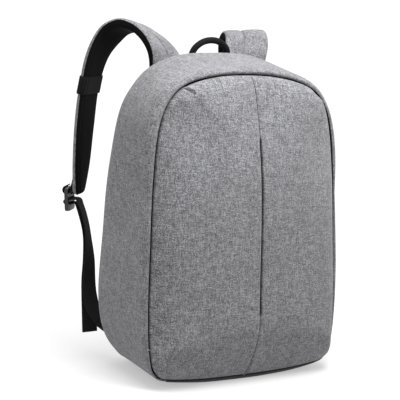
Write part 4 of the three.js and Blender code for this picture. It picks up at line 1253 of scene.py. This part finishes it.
# %% Adjusting webbing
WEBBING_RISE = np.array([
    (-132, 107, 52, -18), (-144, 119, 71, -8), (-146, 128, 91, 1), (-144, 135, 111, 12),
    (-140, 143, 136, 26), (-138, 153, 163, 42), (-138, 161, 183, 46), (-140, 170, 202, 46),
], float)
WEBBING_IN_BUCKLE = [
    (-14, 1), (-7, 0), (-2.5, 0), (2.5, 0), (5.1, 1.2), (6, 3.6),
    (5.1, 6), (2.5, 7.2), (-2.5, 7.2), (-7, 6.2), (-12, 6),
]
WEBBING_TAIL = np.array([
    (-142.5, 173, 200, 46), (-140.5, 163.5, 181, 46), (-140, 155.5, 161, 42), (-141.5, 146, 135, 26),
    (-144.5, 138.5, 110, 12), (-146, 132, 90, 1), (-146.5, 127, 66, -4), (-145.5, 124, 36, -8),
], float)
HEM_LENGTH = 19
for label, side in SIDES.items():
    rise, tail = [
        line_frames(rows, np.linspace(0, len(rows) - 1, 40), side) for rows in (WEBBING_RISE, WEBBING_TAIL)
    ]
    path = list(zip(rise[0], rise[2])) + side_view_path(buckle_frames[label], WEBBING_IN_BUCKLE)
    path += list(zip(tail[0], tail[2]))
    points, widths, steps = even_path(path, 2.0)
    hem = smooth_step(steps, steps[-1] - HEM_LENGTH - 1, steps[-1] - HEM_LENGTH + 1)
    rings = strip_rings(points, widths, WEBBING_WIDTH, WEBBING_WALL, 1 + hem)
    cloth_piece(f"webbing_strip_{label}", rings, WEBBING, "webbing", [f"webbing_{label}"], closed=True)

# %% [markdown]
# ## Wing tabs
# A small doubled triangle of black cloth ties the foot of the webbing to the bag's lower corner. It is a
# patch from its root on the back edge to a seam over the foot of the webbing, puffed between its edges.

# %% Wing tabs
WING_ROOT = np.array([(-121, 90.4, 28.5), (-106, 90.6, 20.5)])
WING_TIP_WIDTH, WING_TIP_GAP, WING_OVERLAP, WING_WALL = 26, 2.4, 5, 1.8
WING_PUFF, WING_STITCH = 0.6, 0.5
for label, side in SIDES.items():
    ends = WING_ROOT * np.array([side, 1, 1]) + np.array([0, WING_WALL / 2, 0])
    root = ends[0] + (ends[1] - ends[0]) * np.linspace(0, 1, 21)[:, None]
    place, run, across, out = [v[0] for v in line_frames(WEBBING_RISE, [0], side)]
    reach = np.linspace(-WING_TIP_WIDTH / 2, WING_TIP_WIDTH / 2, 21)[:, None]
    tip = place + across * reach + out * WING_TIP_GAP + run * WING_OVERLAP
    share = np.linspace(0, 1, 24)[:, None, None]
    grid = root[None] * (1 - share) + tip[None] * share
    edge = np.abs(np.linspace(-1, 1, 21))
    puff = WING_PUFF * np.sin(np.pi * share[..., 0]) * (1 - edge ** 4)
    grid[..., 1] += puff - WING_STITCH * bell(edge - 0.86, 0.05)
    wing = cloth_piece(
        f"wing_cloth_{label}", grid, WEBBING, "webbing", [f"wing_tab_{label}"],
        wall=WING_WALL, middle=(-side * 140, 60, 50),
    )

# %% [markdown]
# ## Floor and light
# The bag stands on a plain white table that is lit a little from inside, so that its shadow stays light.
# There is a wide soft light straight above, a white sky all round and one small softbox near the front of
# the crown. The overhead light makes the crown the brightest part and shows the folds, and the softbox
# fades towards the foot, as in the photograph.

# %% Floor and light
def white_floor():
    material, tree, shader = start_material("white_studio_floor")
    place = add_node(tree, "TexCoord").outputs["Object"]
    grain = add_node(tree, "TexNoise", {"Vector": place, "Scale": 4.0})
    ramp = add_node(tree, "ValToRGB", {"Fac": grain})
    paint_ramp(ramp, [(0.3, "#979797"), (0.7, "#9b9b9b")])
    tree.links.new(ramp.outputs[0], shader.inputs["Base Color"])
    shader.inputs["Roughness"].default_value = 0.9
    shader.inputs["Emission Color"].default_value = (1, 1, 1, 1)
    shader.inputs["Emission Strength"].default_value = 0.42
    return material


bpy.ops.object.select_all(action="DESELECT")
bpy.ops.mesh.primitive_plane_add(size=1000, location=(0, 0, 0))
floor = bpy.context.object
floor.name = "studio_floor"
floor.data.materials.append(white_floor())


def add_light(name, kind, place, towards, **settings):
    lamp = bpy.data.lights.new(name, kind)
    for setting, value in settings.items():
        setattr(lamp, setting, value)
    light = bpy.data.objects.new(name, lamp)
    bpy.context.collection.objects.link(light)
    turn = (Vector(place) - Vector(towards)).to_track_quat("Z", "Y").to_matrix().to_4x4()
    light.matrix_world = Matrix.Translation(place) @ turn
    return light


SKY_STRENGTH = 1.04
add_light("overhead_light", "SUN", (0, 0, 1), (0, 0, 0), angle=math.radians(40), energy=2.8)
softbox = add_light("front_softbox", "AREA", (0, -0.3, 0.8), (0, 0, 0.35), size=0.3, energy=5.3)
softbox.visible_camera = False
sky = bpy.data.worlds.new("pale_studio")
sky.use_nodes = True
glow = sky.node_tree.nodes["Background"].inputs
glow["Color"].default_value, glow["Strength"].default_value = (1, 1, 1, 1), SKY_STRENGTH
bpy.context.scene.world = sky
bpy.context.scene.view_settings.view_transform = "Standard"
print("lights:", [lamp.name for lamp in bpy.data.lights])
